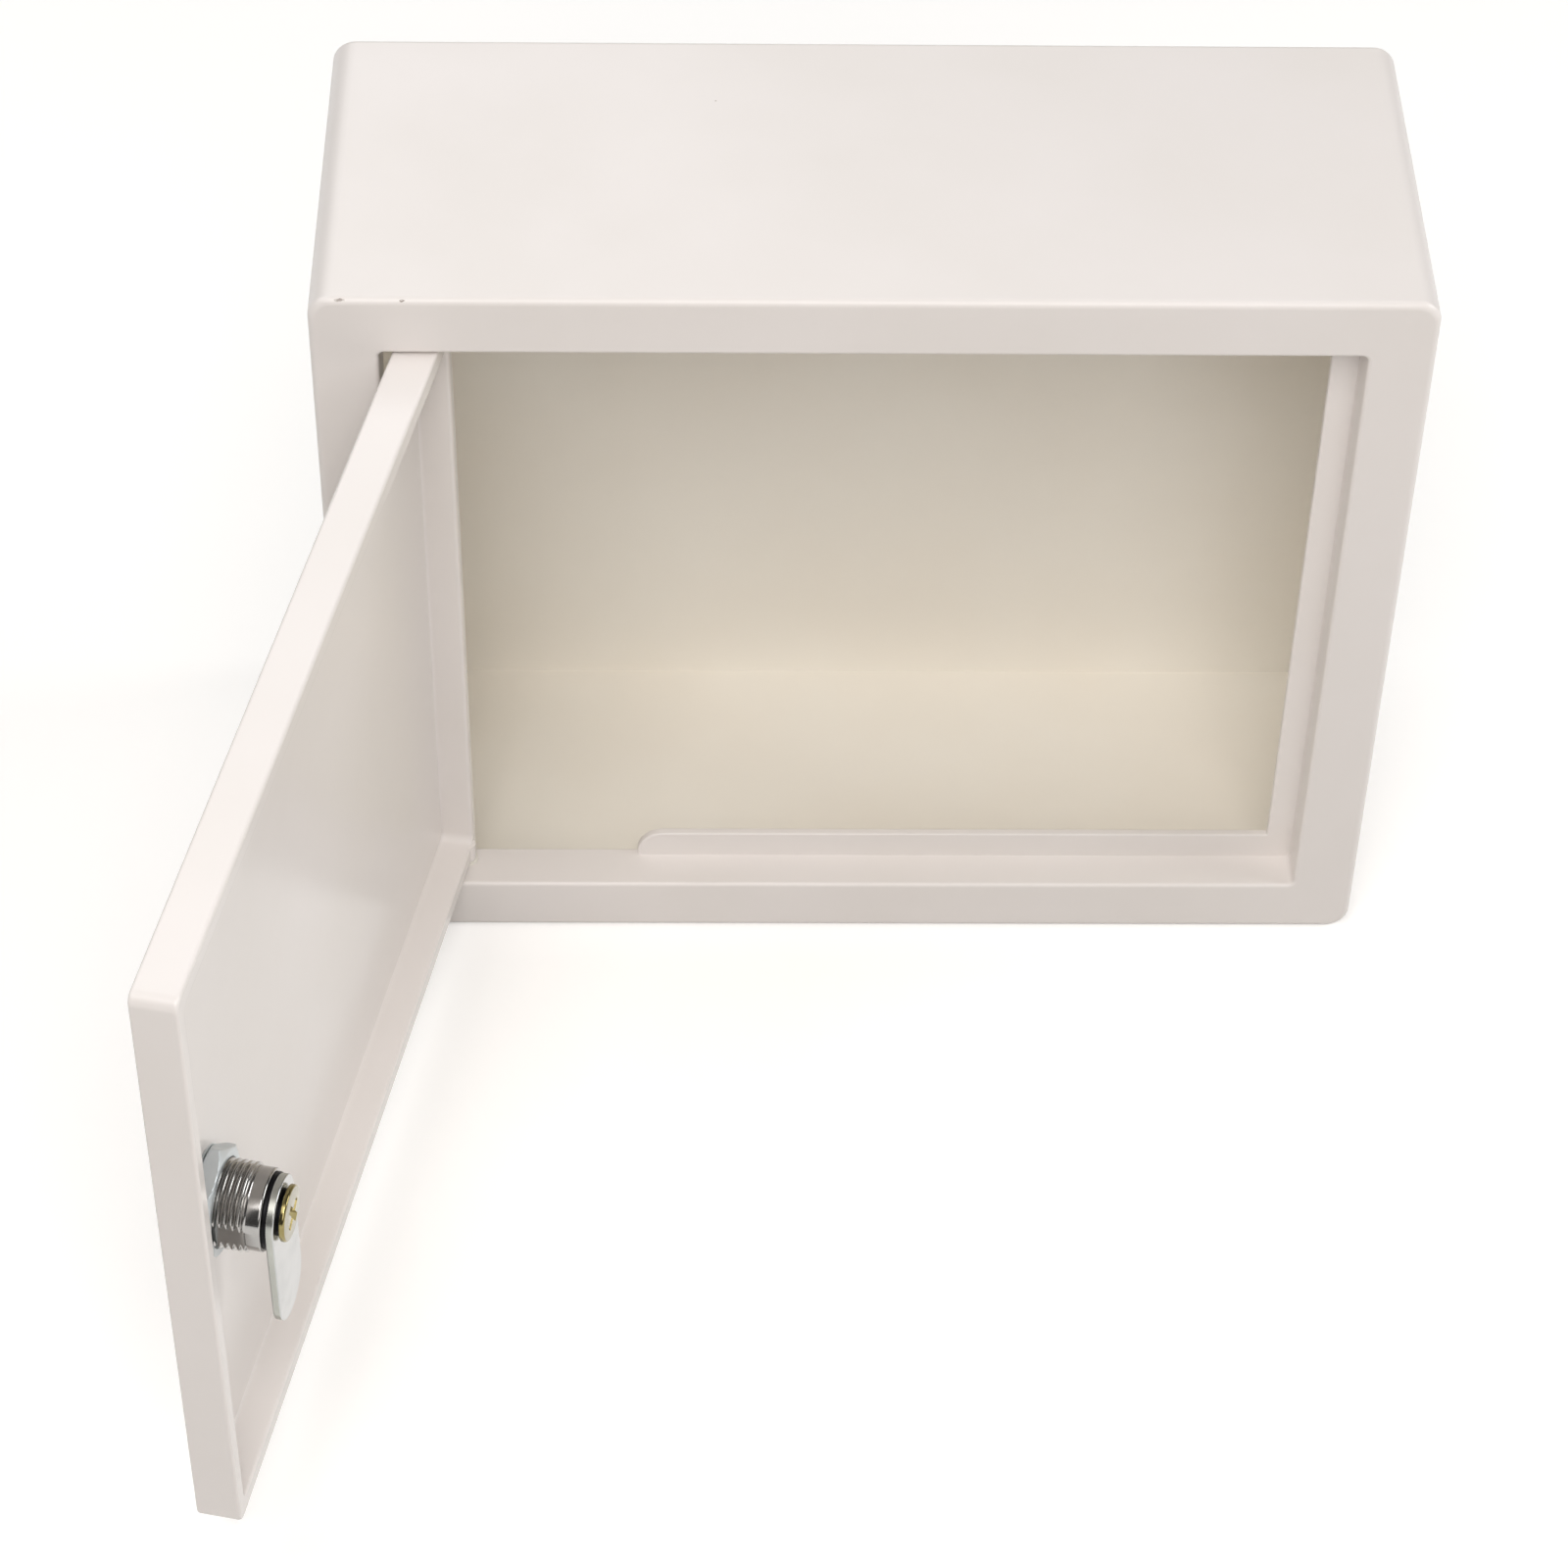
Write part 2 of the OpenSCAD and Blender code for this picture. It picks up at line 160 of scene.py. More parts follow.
def add_node(
    tree: bpy.types.NodeTree, kind: str, inputs: dict[Any, Any] | None = None, **settings: Any
) -> bpy.types.Node:
    """Adds a node with its settings, values and links.

    Args:
        tree: the node tree that gets the node.
        kind: the node's type name.
        inputs: values or output sockets, by the input's name or number.
        settings: attributes of the node itself.

    Returns:
        The new node.
    """
    node = tree.nodes.new(kind)
    for name, value in settings.items():
        setattr(node, name, value)
    for key, value in (inputs or {}).items():
        socket = node.inputs[key]
        if isinstance(value, bpy.types.NodeSocket):
            tree.links.new(value, socket)
        else:
            socket.default_value = value
    return node


def rounded_path(
    corners: Sequence[Corner], closed: bool = True, steps: int = ARC_STEPS
) -> list[Flat]:
    """Rounds the corners of a flat path, with a holding point on each side of an arc.

    Args:
        corners: two coordinates and a radius for each corner; radius zero stays sharp.
        closed: whether the path runs back to its first corner.
        steps: faces in each arc.

    Returns:
        The points of the path, in order.
    """
    points: list[Flat] = []
    count = len(corners)
    for i, (u, v, radius) in enumerate(corners):
        here = Vector((u, v))
        if radius <= 0 or (not closed and i in (0, count - 1)):
            points.append((u, v))
            continue
        came = (here - Vector(corners[i - 1][:2])).normalized()
        goes = (Vector(corners[(i + 1) % count][:2]) - here).normalized()
        turn = math.atan2(came.x * goes.y - came.y * goes.x, came.dot(goes))
        side = math.copysign(1, turn)
        start = here - came * radius * math.tan(abs(turn) / 2)
        centre = start + side * radius * Vector((-came.y, came.x))
        end = here + goes * radius * math.tan(abs(turn) / 2)
        points.append(tuple(start - came * HOLD_MM))
        for k in range(steps + 1):
            arm = (start - centre).copy()
            arm.rotate(Matrix.Rotation(turn * k / steps, 2))
            points.append(tuple(centre + arm))
        points.append(tuple(end + goes * HOLD_MM))
    return points


def plate_edge(front: float, back: float, radius: float, steps: int = ARC_STEPS) -> list[Flat]:
    """Draws the edge of a plate, rounded towards both of its faces.

    Args:
        front: depth of the front face.
        back: depth of the back face.
        radius: rounding of the edge.
        steps: faces in each rounding.

    Returns:
        Depth and inset of each ring round the plate, from the front face to the back face.
    """
    flat = radius + HOLD_MM
    corners = [(front, flat, 0), (front, 0, radius), (back, 0, radius), (back, flat, 0)]
    return rounded_path(corners, closed=False, steps=steps)


def turned_rings(
    profile: Sequence[Flat], around: int, flat: float = math.inf
) -> list[list[Vector]]:
    """Turns a profile round the Y axis, with two flats cut along it where asked.

    Args:
        profile: depth and radius of each ring, in millimetres.
        around: points in a ring.
        flat: half of the width over the flats, which face along X.

    Returns:
        One ring of points for each profile point.
    """
    rings = []
    for depth, radius in profile:
        ring = []
        for k in range(around):
            angle = FULL_TURN * k / around
            x = max(-flat, min(flat, radius * math.cos(angle)))
            ring.append(Vector((x, depth, radius * math.sin(angle))))
        rings.append(ring)
    return rings


class Shell:
    """Collects rings of points in millimetres and makes them one smooth, closed mesh."""

    def __init__(self) -> None:
        """Starts with no points and no faces."""
        self.points: list[Vector] = []
        self.faces: list[tuple[int, ...]] = []
        self.regions: list[Region] = []

    def ring(self, points: Sequence[Sequence[float]]) -> list[int]:
        """Adds the points of a ring.

        Args:
            points: the points, in order.

        Returns:
            Their numbers.
        """
        first = len(self.points)
        self.points.extend(Vector(p) for p in points)
        return list(range(first, len(self.points)))

    def bridge(self, a: list[int], b: list[int], region: Region = Region.OUTSIDE) -> None:
        """Joins two closed rings of as many points with four-sided faces.

        Args:
            a: numbers of the first ring.
            b: numbers of the second ring.
            region: finish of the new faces.
        """
        for i in range(len(a)):
            j = (i + 1) % len(a)
            self.faces.append((a[i], a[j], b[j], b[i]))
            self.regions.append(region)

    def cap(self, ring: list[int]) -> None:
        """Closes a ring with one flat face."""
        self.faces.append(tuple(ring))
        self.regions.append(Region.OUTSIDE)

    def loft(
        self,
        rings: Sequence[Sequence[Sequence[float]]],
        around: bool = False,
        region: Callable[[int], Region] = lambda i: Region.OUTSIDE,
    ) -> None:
        """Skins a row of rings.

        Args:
            rings: the rings in order, each a list of points.
            around: True joins the last ring to the first; False caps both ends.
            region: gives the finish of the faces between ring i and the next one.
        """
        numbers = [self.ring(r) for r in rings]
        pairs = list(zip(numbers, numbers[1:]))
        if around:
            pairs.append((numbers[-1], numbers[0]))
        else:
            self.cap(numbers[0])
            self.cap(numbers[-1])
        for i, (a, b) in enumerate(pairs):
            self.bridge(a, b, region(i))

    def build(
        self, name: str, place: Matrix, *materials: bpy.types.Material
    ) -> bpy.types.Object:
        """Makes the mesh, with its place in its vertices.

        Args:
            name: the piece's name.
            place: turns the shell's millimetres into the row frame.
            materials: one for each region that the shell uses.

        Returns:
            The new object, at the origin.
        """
        work = bmesh.new()
        verts = [work.verts.new(p) for p in self.points]
        for numbers, region in zip(self.faces, self.regions):
            face = work.faces.new([verts[n] for n in numbers])
            face.material_index = region.value
            face.smooth = True
        bmesh.ops.remove_doubles(work, verts=work.verts, dist=MERGE_MM)
        bmesh.ops.dissolve_degenerate(work, edges=work.edges, dist=MERGE_MM)
        bmesh.ops.recalc_face_normals(work, faces=work.faces)
        mesh = bpy.data.meshes.new(name)
        work.to_mesh(mesh)
        work.free()
        return as_piece(name, mesh, place, *materials)


def as_piece(
    name: str, mesh: bpy.types.Mesh, place: Matrix, *materials: bpy.types.Material
) -> bpy.types.Object:
    """Puts a mesh in its place and in the scene.

    Args:
        name: the piece's name.
        mesh: the mesh, in millimetres or whatever place expects.
        place: turns the mesh's coordinates into the row frame.
        materials: the mesh's material slots, in order.

    Returns:
        The new object, at the origin.
    """
    mesh.transform(place)
    for material in materials:
        if material.name not in mesh.materials:
            mesh.materials.append(material)
    mesh.set_sharp_from_angle(angle=math.radians(SHARP_DEG))
    piece = bpy.data.objects.new(name, mesh)
    bpy.context.scene.collection.objects.link(piece)
    return piece


def baked(piece: bpy.types.Object) -> bpy.types.Mesh:
    """Applies a piece's modifiers, turns its faces outwards and takes the piece away.

    Args:
        piece: the piece with its modifiers.

    Returns:
        A plain mesh with the piece's name.
    """
    graph = bpy.context.evaluated_depsgraph_get()
    mesh = bpy.data.meshes.new_from_object(piece.evaluated_get(graph))
    name = piece.name
    bpy.data.objects.remove(piece)
    mesh.name = name
    work = bmesh.new()
    work.from_mesh(mesh)
    bmesh.ops.recalc_face_normals(work, faces=work.faces)
    for face in work.faces:
        face.smooth = True
    work.to_mesh(mesh)
    work.free()
    return mesh


def cut(piece: bpy.types.Object, tool: bpy.types.Object) -> bpy.types.Object:
    """Cuts a tool's shape out of a piece and takes the tool away.

    Args:
        piece: the piece, with its place and materials.
        tool: a closed mesh in the same frame.

    Returns:
        The cut piece, under the same name.
    """
    name, materials = piece.name, list(piece.data.materials)
    modifier = piece.modifiers.new("cut", "BOOLEAN")
    modifier.object = tool
    modifier.operation = "DIFFERENCE"
    modifier.solver = "EXACT"
    modifier.use_self = True
    mesh = baked(piece)
    bpy.data.objects.remove(tool)
    return as_piece(name, mesh, Matrix.Identity(4), *materials)


def joined(name: str, pieces: Sequence[bpy.types.Object]) -> bpy.types.Object:
    """Joins pieces of one part into the first of them.

    Args:
        name: the name of the whole.
        pieces: the pieces, at the origin.

    Returns:
        The first piece, which now holds them all.
    """
    whole = pieces[0]
    with bpy.context.temp_override(active_object=whole, selected_editable_objects=list(pieces)):
        bpy.ops.object.join()
    whole.name = name
    whole.data.name = name
    return whole


@dataclass(frozen=True)
class Finish:
    """A surface that drifts between two near colours, and whose gloss drifts with them."""

    name: str
    colour: str
    shade: str
    roughness: float

    def start(self) -> tuple[bpy.types.Material, bpy.types.NodeSocket]:
        """Makes the material.

        Returns:
            A material with a plain shader, and the Object coordinates in its tree.
        """
        material = bpy.data.materials.new(self.name)
        material.use_nodes = True
        place = add_node(material.node_tree, "ShaderNodeTexCoord").outputs["Object"]
        return material, place

    def gloss(
        self, tree: bpy.types.NodeTree, tone: bpy.types.NodeSocket, drift: float
    ) -> None:
        """Lets the roughness rise and fall with the tone.

        Args:
            tree: the material's nodes.
            tone: the noise that drives it.
            drift: how far it goes to either side, as a share of the roughness.
        """
        rough = add_node(
            tree,
            "ShaderNodeMapRange",
            {
                "Value": tone,
                "From Min": NOISE_LOW,
                "From Max": NOISE_HIGH,
                "To Min": self.roughness * (1 - drift),
                "To Max": self.roughness * (1 + drift),
            },
        ).outputs["Result"]
        tree.links.new(rough, tree.nodes["Principled BSDF"].inputs["Roughness"])

    def relief(
        self,
        tree: bpy.types.NodeTree,
        place: bpy.types.NodeSocket,
        size_mm: float,
        depth_mm: float,
        detail: float,
        under: bpy.types.NodeSocket | None = None,
    ) -> bpy.types.NodeSocket:
        """Adds a low, uneven relief.

        Args:
            tree: the material's nodes.
            place: the coordinates.
            size_mm: size of its bumps.
            depth_mm: their depth.
            detail: how much finer noise there is in them.
            under: the relief that it lies on.

        Returns:
            The surface's normal with the relief.
        """
        bumps = add_node(
            tree,
            "ShaderNodeTexNoise",
            {"Vector": place, "Scale": 1 / (size_mm * MM), "Detail": detail},
        ).outputs["Fac"]
        inputs: dict[Any, Any] = {
            "Height": bumps,
            "Strength": 1.0,
            "Distance": depth_mm * MM,
        }
        if under:
            inputs["Normal"] = under
        return add_node(tree, "ShaderNodeBump", inputs).outputs["Normal"]


@dataclass(frozen=True)
class MouldedPlastic(Finish):
    """Plastic as it comes from a polished mould: smooth, softly glossy, a little wavy."""

    ior: float = 1.5
    tone_mm: float = 55.6
    tone_span: Flat = (0.35, 0.65)
    gloss_drift: float = 0.12
    wave_mm: float = 14.0
    wave_depth_mm: float = 0.03
    grain_mm: float = 0.9  # a mould's grain is finer, and is drawn this coarse to show
    grain_depth_mm: float = 0.004
    speck_every_mm: float = 26.0
    speck_mm: float = 0.22
    speck_edge: Flat = (0.6, 1.4)
    speck_strength: float = 0.7
    speck_colour: str = "#A79C90"
    scuffs: tuple[tuple[float, float, float, float], ...] = ()
    scuff_grit_mm: float = 0.714
    scuff_ragged_mm: Corner = (1.2, 0.8, 0.8)
    scuff_stretch: Corner = (1.0, 2.6, 2.6)
    scuff_edge: Flat = (0.7, 1.5)
    scuff_strength: float = 0.75
    scuff_colour: str = "#6E5A4C"

    def build(self) -> bpy.types.Material:
        """Makes the material.

        Returns:
            A node material that reads Object coordinates.
        """
        material, place = self.start()
        tree = material.node_tree
        shader = tree.nodes["Principled BSDF"]
        shader.inputs["IOR"].default_value = self.ior
        tone = add_node(
            tree,
            "ShaderNodeTexNoise",
            {"Vector": place, "Scale": 1 / (self.tone_mm * MM), "Detail": 3.0},
        ).outputs["Fac"]
        low, high = self.tone_span
        share = add_node(
            tree, "ShaderNodeMapRange", {"Value": tone, "From Min": low, "From Max": high}
        ).outputs["Result"]
        colour = add_node(
            tree,
            "ShaderNodeMix",
            {"Factor": share, "A": linear(self.colour), "B": linear(self.shade)},
            data_type="RGBA",
        ).outputs["Result"]
        colour = self.specks(tree, place, colour)
        for *spot, size_mm in self.scuffs:
            colour = self.scuff(tree, place, colour, Vector(spot), size_mm)
        tree.links.new(colour, shader.inputs["Base Color"])
        self.gloss(tree, tone, self.gloss_drift)
        wave = self.relief(tree, place, self.wave_mm, self.wave_depth_mm, 1.0)
        grain = self.relief(tree, place, self.grain_mm, self.grain_depth_mm, 2.0, wave)
        tree.links.new(grain, shader.inputs["Normal"])
        return material

    def marked(
        self,
        tree: bpy.types.NodeTree,
        colour: bpy.types.NodeSocket,
        away: bpy.types.NodeSocket,
        size: float,
        edge: Flat,
        strength: float,
        paint: str,
    ) -> bpy.types.NodeSocket:
        """Paints a soft-edged mark where a distance is small.

        Args:
            tree: the material's nodes.
            colour: the colour so far.
            away: distance from the middle of the mark.
            size: half of the mark's width, in the distance's own unit.
            edge: where the mark starts to fade and where it has gone, as shares of size.
            strength: share of the mark's colour in its middle.
            paint: the mark's colour.

        Returns:
            The colour with the mark.
        """
        share = add_node(
            tree,
            "ShaderNodeMapRange",
            {
                "Value": away,
                "From Min": size * edge[0],
                "From Max": size * edge[1],
                "To Min": strength,
                "To Max": 0.0,
            },
        ).outputs["Result"]
        return add_node(
            tree,
            "ShaderNodeMix",
            {"Factor": share, "A": colour, "B": linear(paint)},
            data_type="RGBA",
        ).outputs["Result"]

    def specks(
        self, tree: bpy.types.NodeTree, place: bpy.types.NodeSocket, colour: bpy.types.NodeSocket
    ) -> bpy.types.NodeSocket:
        """Adds the few dark dots that dust leaves in moulded plastic.

        Args:
            tree: the material's nodes.
            place: the coordinates.
            colour: the colour so far.

        Returns:
            The colour with the dots.
        """
        away = add_node(
            tree,
            "ShaderNodeTexVoronoi",
            {"Vector": place, "Scale": 1 / (self.speck_every_mm * MM)},
        ).outputs["Distance"]
        size = self.speck_mm / self.speck_every_mm
        look = self.speck_edge, self.speck_strength, self.speck_colour
        return self.marked(tree, colour, away, size, *look)

    def scuff(
        self,
        tree: bpy.types.NodeTree,
        place: bpy.types.NodeSocket,
        colour: bpy.types.NodeSocket,
        centre: Vector,
        size_mm: float,
    ) -> bpy.types.NodeSocket:
        """Adds one small scuff, wider than it is high.

        Args:
            tree: the material's nodes.
            place: the coordinates.
            colour: the colour so far.
            centre: the scuff's place in the row frame, in metres.
            size_mm: half of its width.

        Returns:
            The colour with the scuff.
        """
        moved = add_node(
            tree, "ShaderNodeVectorMath", {0: place, 1: centre}, operation="SUBTRACT"
        ).outputs["Vector"]
        grit = add_node(
            tree,
            "ShaderNodeTexNoise",
            {"Vector": place, "Scale": 1 / (self.scuff_grit_mm * MM), "Detail": 2.0},
        ).outputs["Color"]
        ragged = tuple(length * MM for length in self.scuff_ragged_mm)
        shaken = add_node(
            tree,
            "ShaderNodeVectorMath",
            {0: grit, 1: ragged, 2: moved},
            operation="MULTIPLY_ADD",
        ).outputs["Vector"]
        shaped = add_node(
            tree,
            "ShaderNodeVectorMath",
            {0: shaken, 1: self.scuff_stretch},
            operation="MULTIPLY",
        ).outputs["Vector"]
        away = add_node(
            tree, "ShaderNodeVectorMath", {0: shaped}, operation="LENGTH"
        ).outputs["Value"]
        look = self.scuff_edge, self.scuff_strength, self.scuff_colour
        return self.marked(tree, colour, away, size_mm * MM, *look)


@dataclass(frozen=True)
class PlatedMetal(Finish):
    """Turned or stamped metal under a thin plating, with fine tool marks."""

    patch_mm: float = 6.25
    gloss_drift: float = 0.25
    mark_mm: float = 0.35  # a tool's marks are finer, and are drawn this coarse to show
    mark_depth_mm: float = 0.001
    metallic: float = 1.0

    def build(self) -> bpy.types.Material:
        """Makes the material.

        Returns:
            A node material that reads Object coordinates.
        """
        material, place = self.start()
        tree = material.node_tree
        shader = tree.nodes["Principled BSDF"]
        shader.inputs["Metallic"].default_value = self.metallic
        patch = add_node(
            tree,
            "ShaderNodeTexNoise",
            {"Vector": place, "Scale": 1 / (self.patch_mm * MM), "Detail": 4.0},
        ).outputs["Fac"]
        colour = add_node(
            tree,
            "ShaderNodeMix",
            {"Factor": patch, "A": linear(self.colour), "B": linear(self.shade)},
            data_type="RGBA",
        ).outputs["Result"]
        tree.links.new(colour, shader.inputs["Base Color"])
        self.gloss(tree, patch, self.gloss_drift)
        marks = self.relief(tree, place, self.mark_mm, self.mark_depth_mm, 2.0)
        tree.links.new(marks, shader.inputs["Normal"])
        return material


@dataclass
class CasingShell:
    """The casing: rounded walls, the front frame with its lined opening, and the stop lip."""

    sizes: BoxSizes
    edge_r: float = 5.5
    rim_r: float = 1.7
    mouth_r: float = 1.0
    jamb_t: float = 2.6
    back_r: float = 0.4
    lip_front: float = 10.2
    lip_back: float = 12.3
    lip_h: float = 7.5
    lip_side: float = 6.3
    lip_x: float = 71.0
    lip_sunk: float = 1.0
    lip_end_r: float = 6.5
    lip_edge_r: float = 0.45
    lip_corner_r: float = 0.3
    boss_r: float = 4.5
    boss_gap: float = 1.1
    boss_sunk: float = 0.5
    boss_faces: int = 40

    def outline(self, inset: float) -> list[Flat]:
        """Draws the casing's outline as seen from the front.

        Args:
            inset: how far inside the outer walls it runs.

        Returns:
            Its points, from the lower left.
        """
        s = self.sizes
        start = s.frame_w - self.mouth_r
        radius = max(self.edge_r - inset, self.edge_r - s.wall)
        if inset > start:
            radius -= inset - start
        low, right, top = inset, s.width - inset, s.height - inset
        corners = [(low, low), (right, low), (right, top), (low, top)]
        return rounded_path([(x, z, radius) for x, z in corners])

    def section(self) -> list[Corner]:
        """Draws the wall's section, from the back rim round the outside to the inside.

        Returns:
            Depth, inset and rounding of each of its corners.
        """
        s = self.sizes
        jamb_out = s.frame_w - self.jamb_t
        return [
            (s.depth, s.wall, self.back_r),
            (s.depth, 0.0, self.rim_r),
            (0.0, 0.0, self.rim_r),
            (0.0, s.frame_w, self.mouth_r),
            (self.lip_back, s.frame_w, self.lip_edge_r),
            (self.lip_back, jamb_out, self.lip_edge_r),
            (s.wall, jamb_out, self.lip_edge_r),
            (s.wall, s.wall, self.lip_edge_r),
        ]

    def lip_outline(self, inset: float) -> list[Flat]:
        """Draws the stop lip as seen from the front: top, lock side and foot, with round starts.

        Args:
            inset: how far inside the lip's edge it runs.

        Returns:
            Its points, from the upper left.
        """
        s, sunk = self.sizes, self.lip_sunk
        right, top, foot = s.width - s.frame_w, s.height - s.frame_w, s.frame_w
        left = self.lip_x + inset
        inner = right - self.lip_side + inset
        high, low = top - self.lip_h + inset, foot + self.lip_h - inset
        end_r, corner_r = self.lip_end_r - inset, self.lip_corner_r + inset
        return rounded_path(
            [
                (left, top + sunk, 0),
                (left, high, end_r),
                (inner, high, corner_r),
                (inner, low, corner_r),
                (left, low, end_r),
                (left, foot - sunk, 0),
                (right + sunk, foot - sunk, 0),
                (right + sunk, top + sunk, 0),
            ]
        )

    def build(
        self, outside: bpy.types.Material, inside: bpy.types.Material
    ) -> bpy.types.Object:
        """Builds the casing, with the round bosses that hold the hinge pins behind the frame.

        Args:
            outside: finish of the walls, the frame, the opening's lining and the lip.
            inside: finish of the storage space, whose lighter cream is a painted glow.

        Returns:
            The casing, which stands for the CAD casing.
        """
        s = self.sizes
        section = rounded_path(self.section())
        slack, lining, rim = 0.1, 0.5, 1.0

        def region(i: int) -> Region:
            """Tells the storage space from the frame, the lining and the outside.

            Args:
                i: number of a ring of the section.

            Returns:
                The finish of the faces between that ring and the next one.
            """
            # faces deep in the storage space get the finish with the painted glow
            depth, inset = section[i]
            deep = s.wall - slack < depth < s.depth - rim
            within = s.wall - slack < inset < s.frame_w - lining
            return Region.INSIDE if deep and within else Region.OUTSIDE

        walls = [[(x, depth, z) for x, z in self.outline(inset)] for depth, inset in section]
        edge = plate_edge(self.lip_front, self.lip_back, self.lip_edge_r, steps=4)
        lip = [[(x, depth, z) for x, z in self.lip_outline(inset)] for depth, inset in edge]
        shell = Shell()
        shell.loft(walls, around=True, region=region)
        shell.loft(lip)
        boss_h = s.frame_w - s.wall - self.boss_gap + self.boss_sunk
        for foot in (s.wall - self.boss_sunk, s.height - s.frame_w + self.boss_gap):
            shell.loft(s.hinge_post(self.boss_r, foot, foot + boss_h, self.boss_faces))
        piece = shell.build("casing_shell", s.casing_place(), outside, inside)
        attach(piece, "casing")
        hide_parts("casing")
        return piece


@dataclass
class DoorTray:
    """The door: a shallow tray with rims, and a hinge end with a rib, knuckles and a skirt."""

    sizes: BoxSizes
    rim_w: float = 4.8
    rim_free: float = 3.8
    corner_r: float = 2.6
    least_r: float = 0.2
    tight_r: float = 0.02  # as good as sharp, with as many points as a round corner
    edge_r: float = 0.8
    rim_edge_r: float = 0.6
    recess_r: float = 2.2
    floor_r: float = 0.7
    slab_under: float = 0.5
    rib_t: float = 3.0
    rib_under: float = 0.9
    rib_edge_r: float = 1.1
    rib_foot: float = 4.0
    rib_foot_r: float = 0.5
    rib_sunk: float = 0.2
    knuckle_r: float = 2.2
    knuckle_faces: int = 48
    skirt_gap: float = 0.4
    skirt_t: float = 2.0
    skirt_low: float = 3.2
    skirt_faces: int = 12
    end_faces: int = 16
    hole_r: float = 9.6
    hole_flat: float = 8.7
    hole_faces: int = 96

    @property
    def rib_x(self) -> Flat:
        """Left and right side of the rib at the hinge."""
        right = self.sizes.hinge_x - self.rib_under
        return right - self.rib_t, right

    @property
    def span(self) -> Corner:
        """Lock side, underside and top of the door."""
        side = self.sizes.frame_w + self.sizes.door_gap
        return self.sizes.width - side, side, self.sizes.height - side

    @property
    def skirt_r(self) -> float:
        """Radius of the skirt's outside round the hinge's axis."""
        return self.sizes.hinge_x - self.sizes.frame_w - self.skirt_gap

    @property
    def skirt_end(self) -> float:
        """Depth at which the skirt ends."""
        return self.sizes.door_t - self.skirt_low

    def outer(self, depth: float, inset: float) -> list[Corner]:
        """Draws a ring round the slab.

        Args:
            depth: the ring's depth.
            inset: how far inside the free edges it runs.

        Returns:
            Its points, from the lower left.
        """
        right, low, high = self.span
        left = self.rib_x[0] + self.slab_under
        radius = max(self.corner_r - inset, self.least_r)
        path = rounded_path(
            [
                (left, low + inset, self.tight_r),
                (right - inset, low + inset, radius),
                (right - inset, high - inset, radius),
                (left, high - inset, self.tight_r),
            ]
        )
        return [(x, depth, z) for x, z in path]

    def recess(self, depth: float, inset: float) -> list[Corner]:
        """Draws a ring round the recess.

        Args:
            depth: the ring's depth.
            inset: how far inside the rims it runs; a negative one widens it.

        Returns:
            Its points, from the lower left.
        """
        right, low, high = self.span
        radius = max(self.recess_r - inset, self.least_r)
        left, end = self.rib_x[1] + inset, right - self.rim_free - inset
        if inset < 0:
            left = self.rib_x[1] + inset * self.rib_edge_r / self.rim_edge_r
        foot, top = low + self.rim_w + inset, high - self.rim_w - inset
        corners = [(left, foot), (end, foot), (end, top), (left, top)]
        return [(x, depth, z) for x, z in rounded_path([(x, z, radius) for x, z in corners])]

    def tray(self, shell: Shell) -> None:
        """Adds the slab with its recess.

        Args:
            shell: the door so far.
        """
        skin, back, r, f = self.sizes.skin_t, self.sizes.door_t, self.rim_edge_r, self.floor_r
        inside = rounded_path(
            [(back, -r - HOLD_MM, 0), (back, 0, r), (skin, 0, f), (skin, f + HOLD_MM, 0)],
            closed=False,
        )
        rings = [self.outer(depth, inset) for depth, inset in plate_edge(0, back, self.edge_r)]
        rings += [self.recess(depth, inset) for depth, inset in inside]
        shell.loft(rings)

    def hinge_section(self) -> list[Flat]:
        """Draws the hinge end in plan: skirt, skin and rib.

        Returns:
            Its points, from the front.
        """
        s = self.sizes
        left, right = self.rib_x

        def arc(radius: float, low: float, high: float) -> list[Flat]:
            """Runs round the hinge's axis from one depth to another.

            Args:
                radius: distance from the axis.
                low: depth at which it starts.
                high: depth at which it ends.

            Returns:
                Its points.
            """
            first = math.asin((low - s.hinge_y) / radius)
            last = math.asin((high - s.hinge_y) / radius)
            count = self.skirt_faces
            angles = [first + (last - first) * k / count for k in range(count + 1)]
            return [
                (s.hinge_x - radius * math.cos(a), s.hinge_y + radius * math.sin(a))
                for a in angles
            ]

        outside = arc(self.skirt_r, 0, self.skirt_end)
        inside = arc(self.skirt_r - self.skirt_t, s.skin_t, self.skirt_end)
        rib = rounded_path(
            [
                (left - self.rib_foot, s.skin_t, 0),
                (left, s.skin_t, self.rib_foot_r),
                (left, s.door_t, self.rib_edge_r),
                (right, s.door_t, self.rib_edge_r),
                (right, s.skin_t - self.rib_sunk, 0),
            ],
            closed=False,
            steps=6,
        )
        return [*outside, *reversed(inside), *rib[1:], (right, 0.0)]

    def hinge_end(self, shell: Shell) -> None:
        """Adds the hinge end, its two closed ends and the knuckles that the hinge pins run in.

        Args:
            shell: the door so far.
        """
        s, part = self.sizes, APART_MM
        _, low, high = self.span
        section = self.hinge_section()
        shell.loft([[(x, y, z) for x, y in section] for z in (low, high)])
        radius, reach = self.skirt_r - part, self.skirt_end - 2 * part
        fill: list[Flat] = []
        for k in range(self.end_faces + 1):
            y = part + reach * k / self.end_faces
            fill.append((s.hinge_x - math.sqrt(radius**2 - (y - s.hinge_y) ** 2), y))
        right = self.rib_x[0] + self.slab_under
        fill += [(right, self.skirt_end - part), (right, part)]
        for foot in (low + part, high - self.rim_w):
            ends = (foot, foot + self.rim_w - part)
            shell.loft([[(x, y, z) for x, y in fill] for z in ends])
            top = foot + self.rim_w - 2 * part
            shell.loft(s.hinge_post(self.knuckle_r, foot, top, self.knuckle_faces))

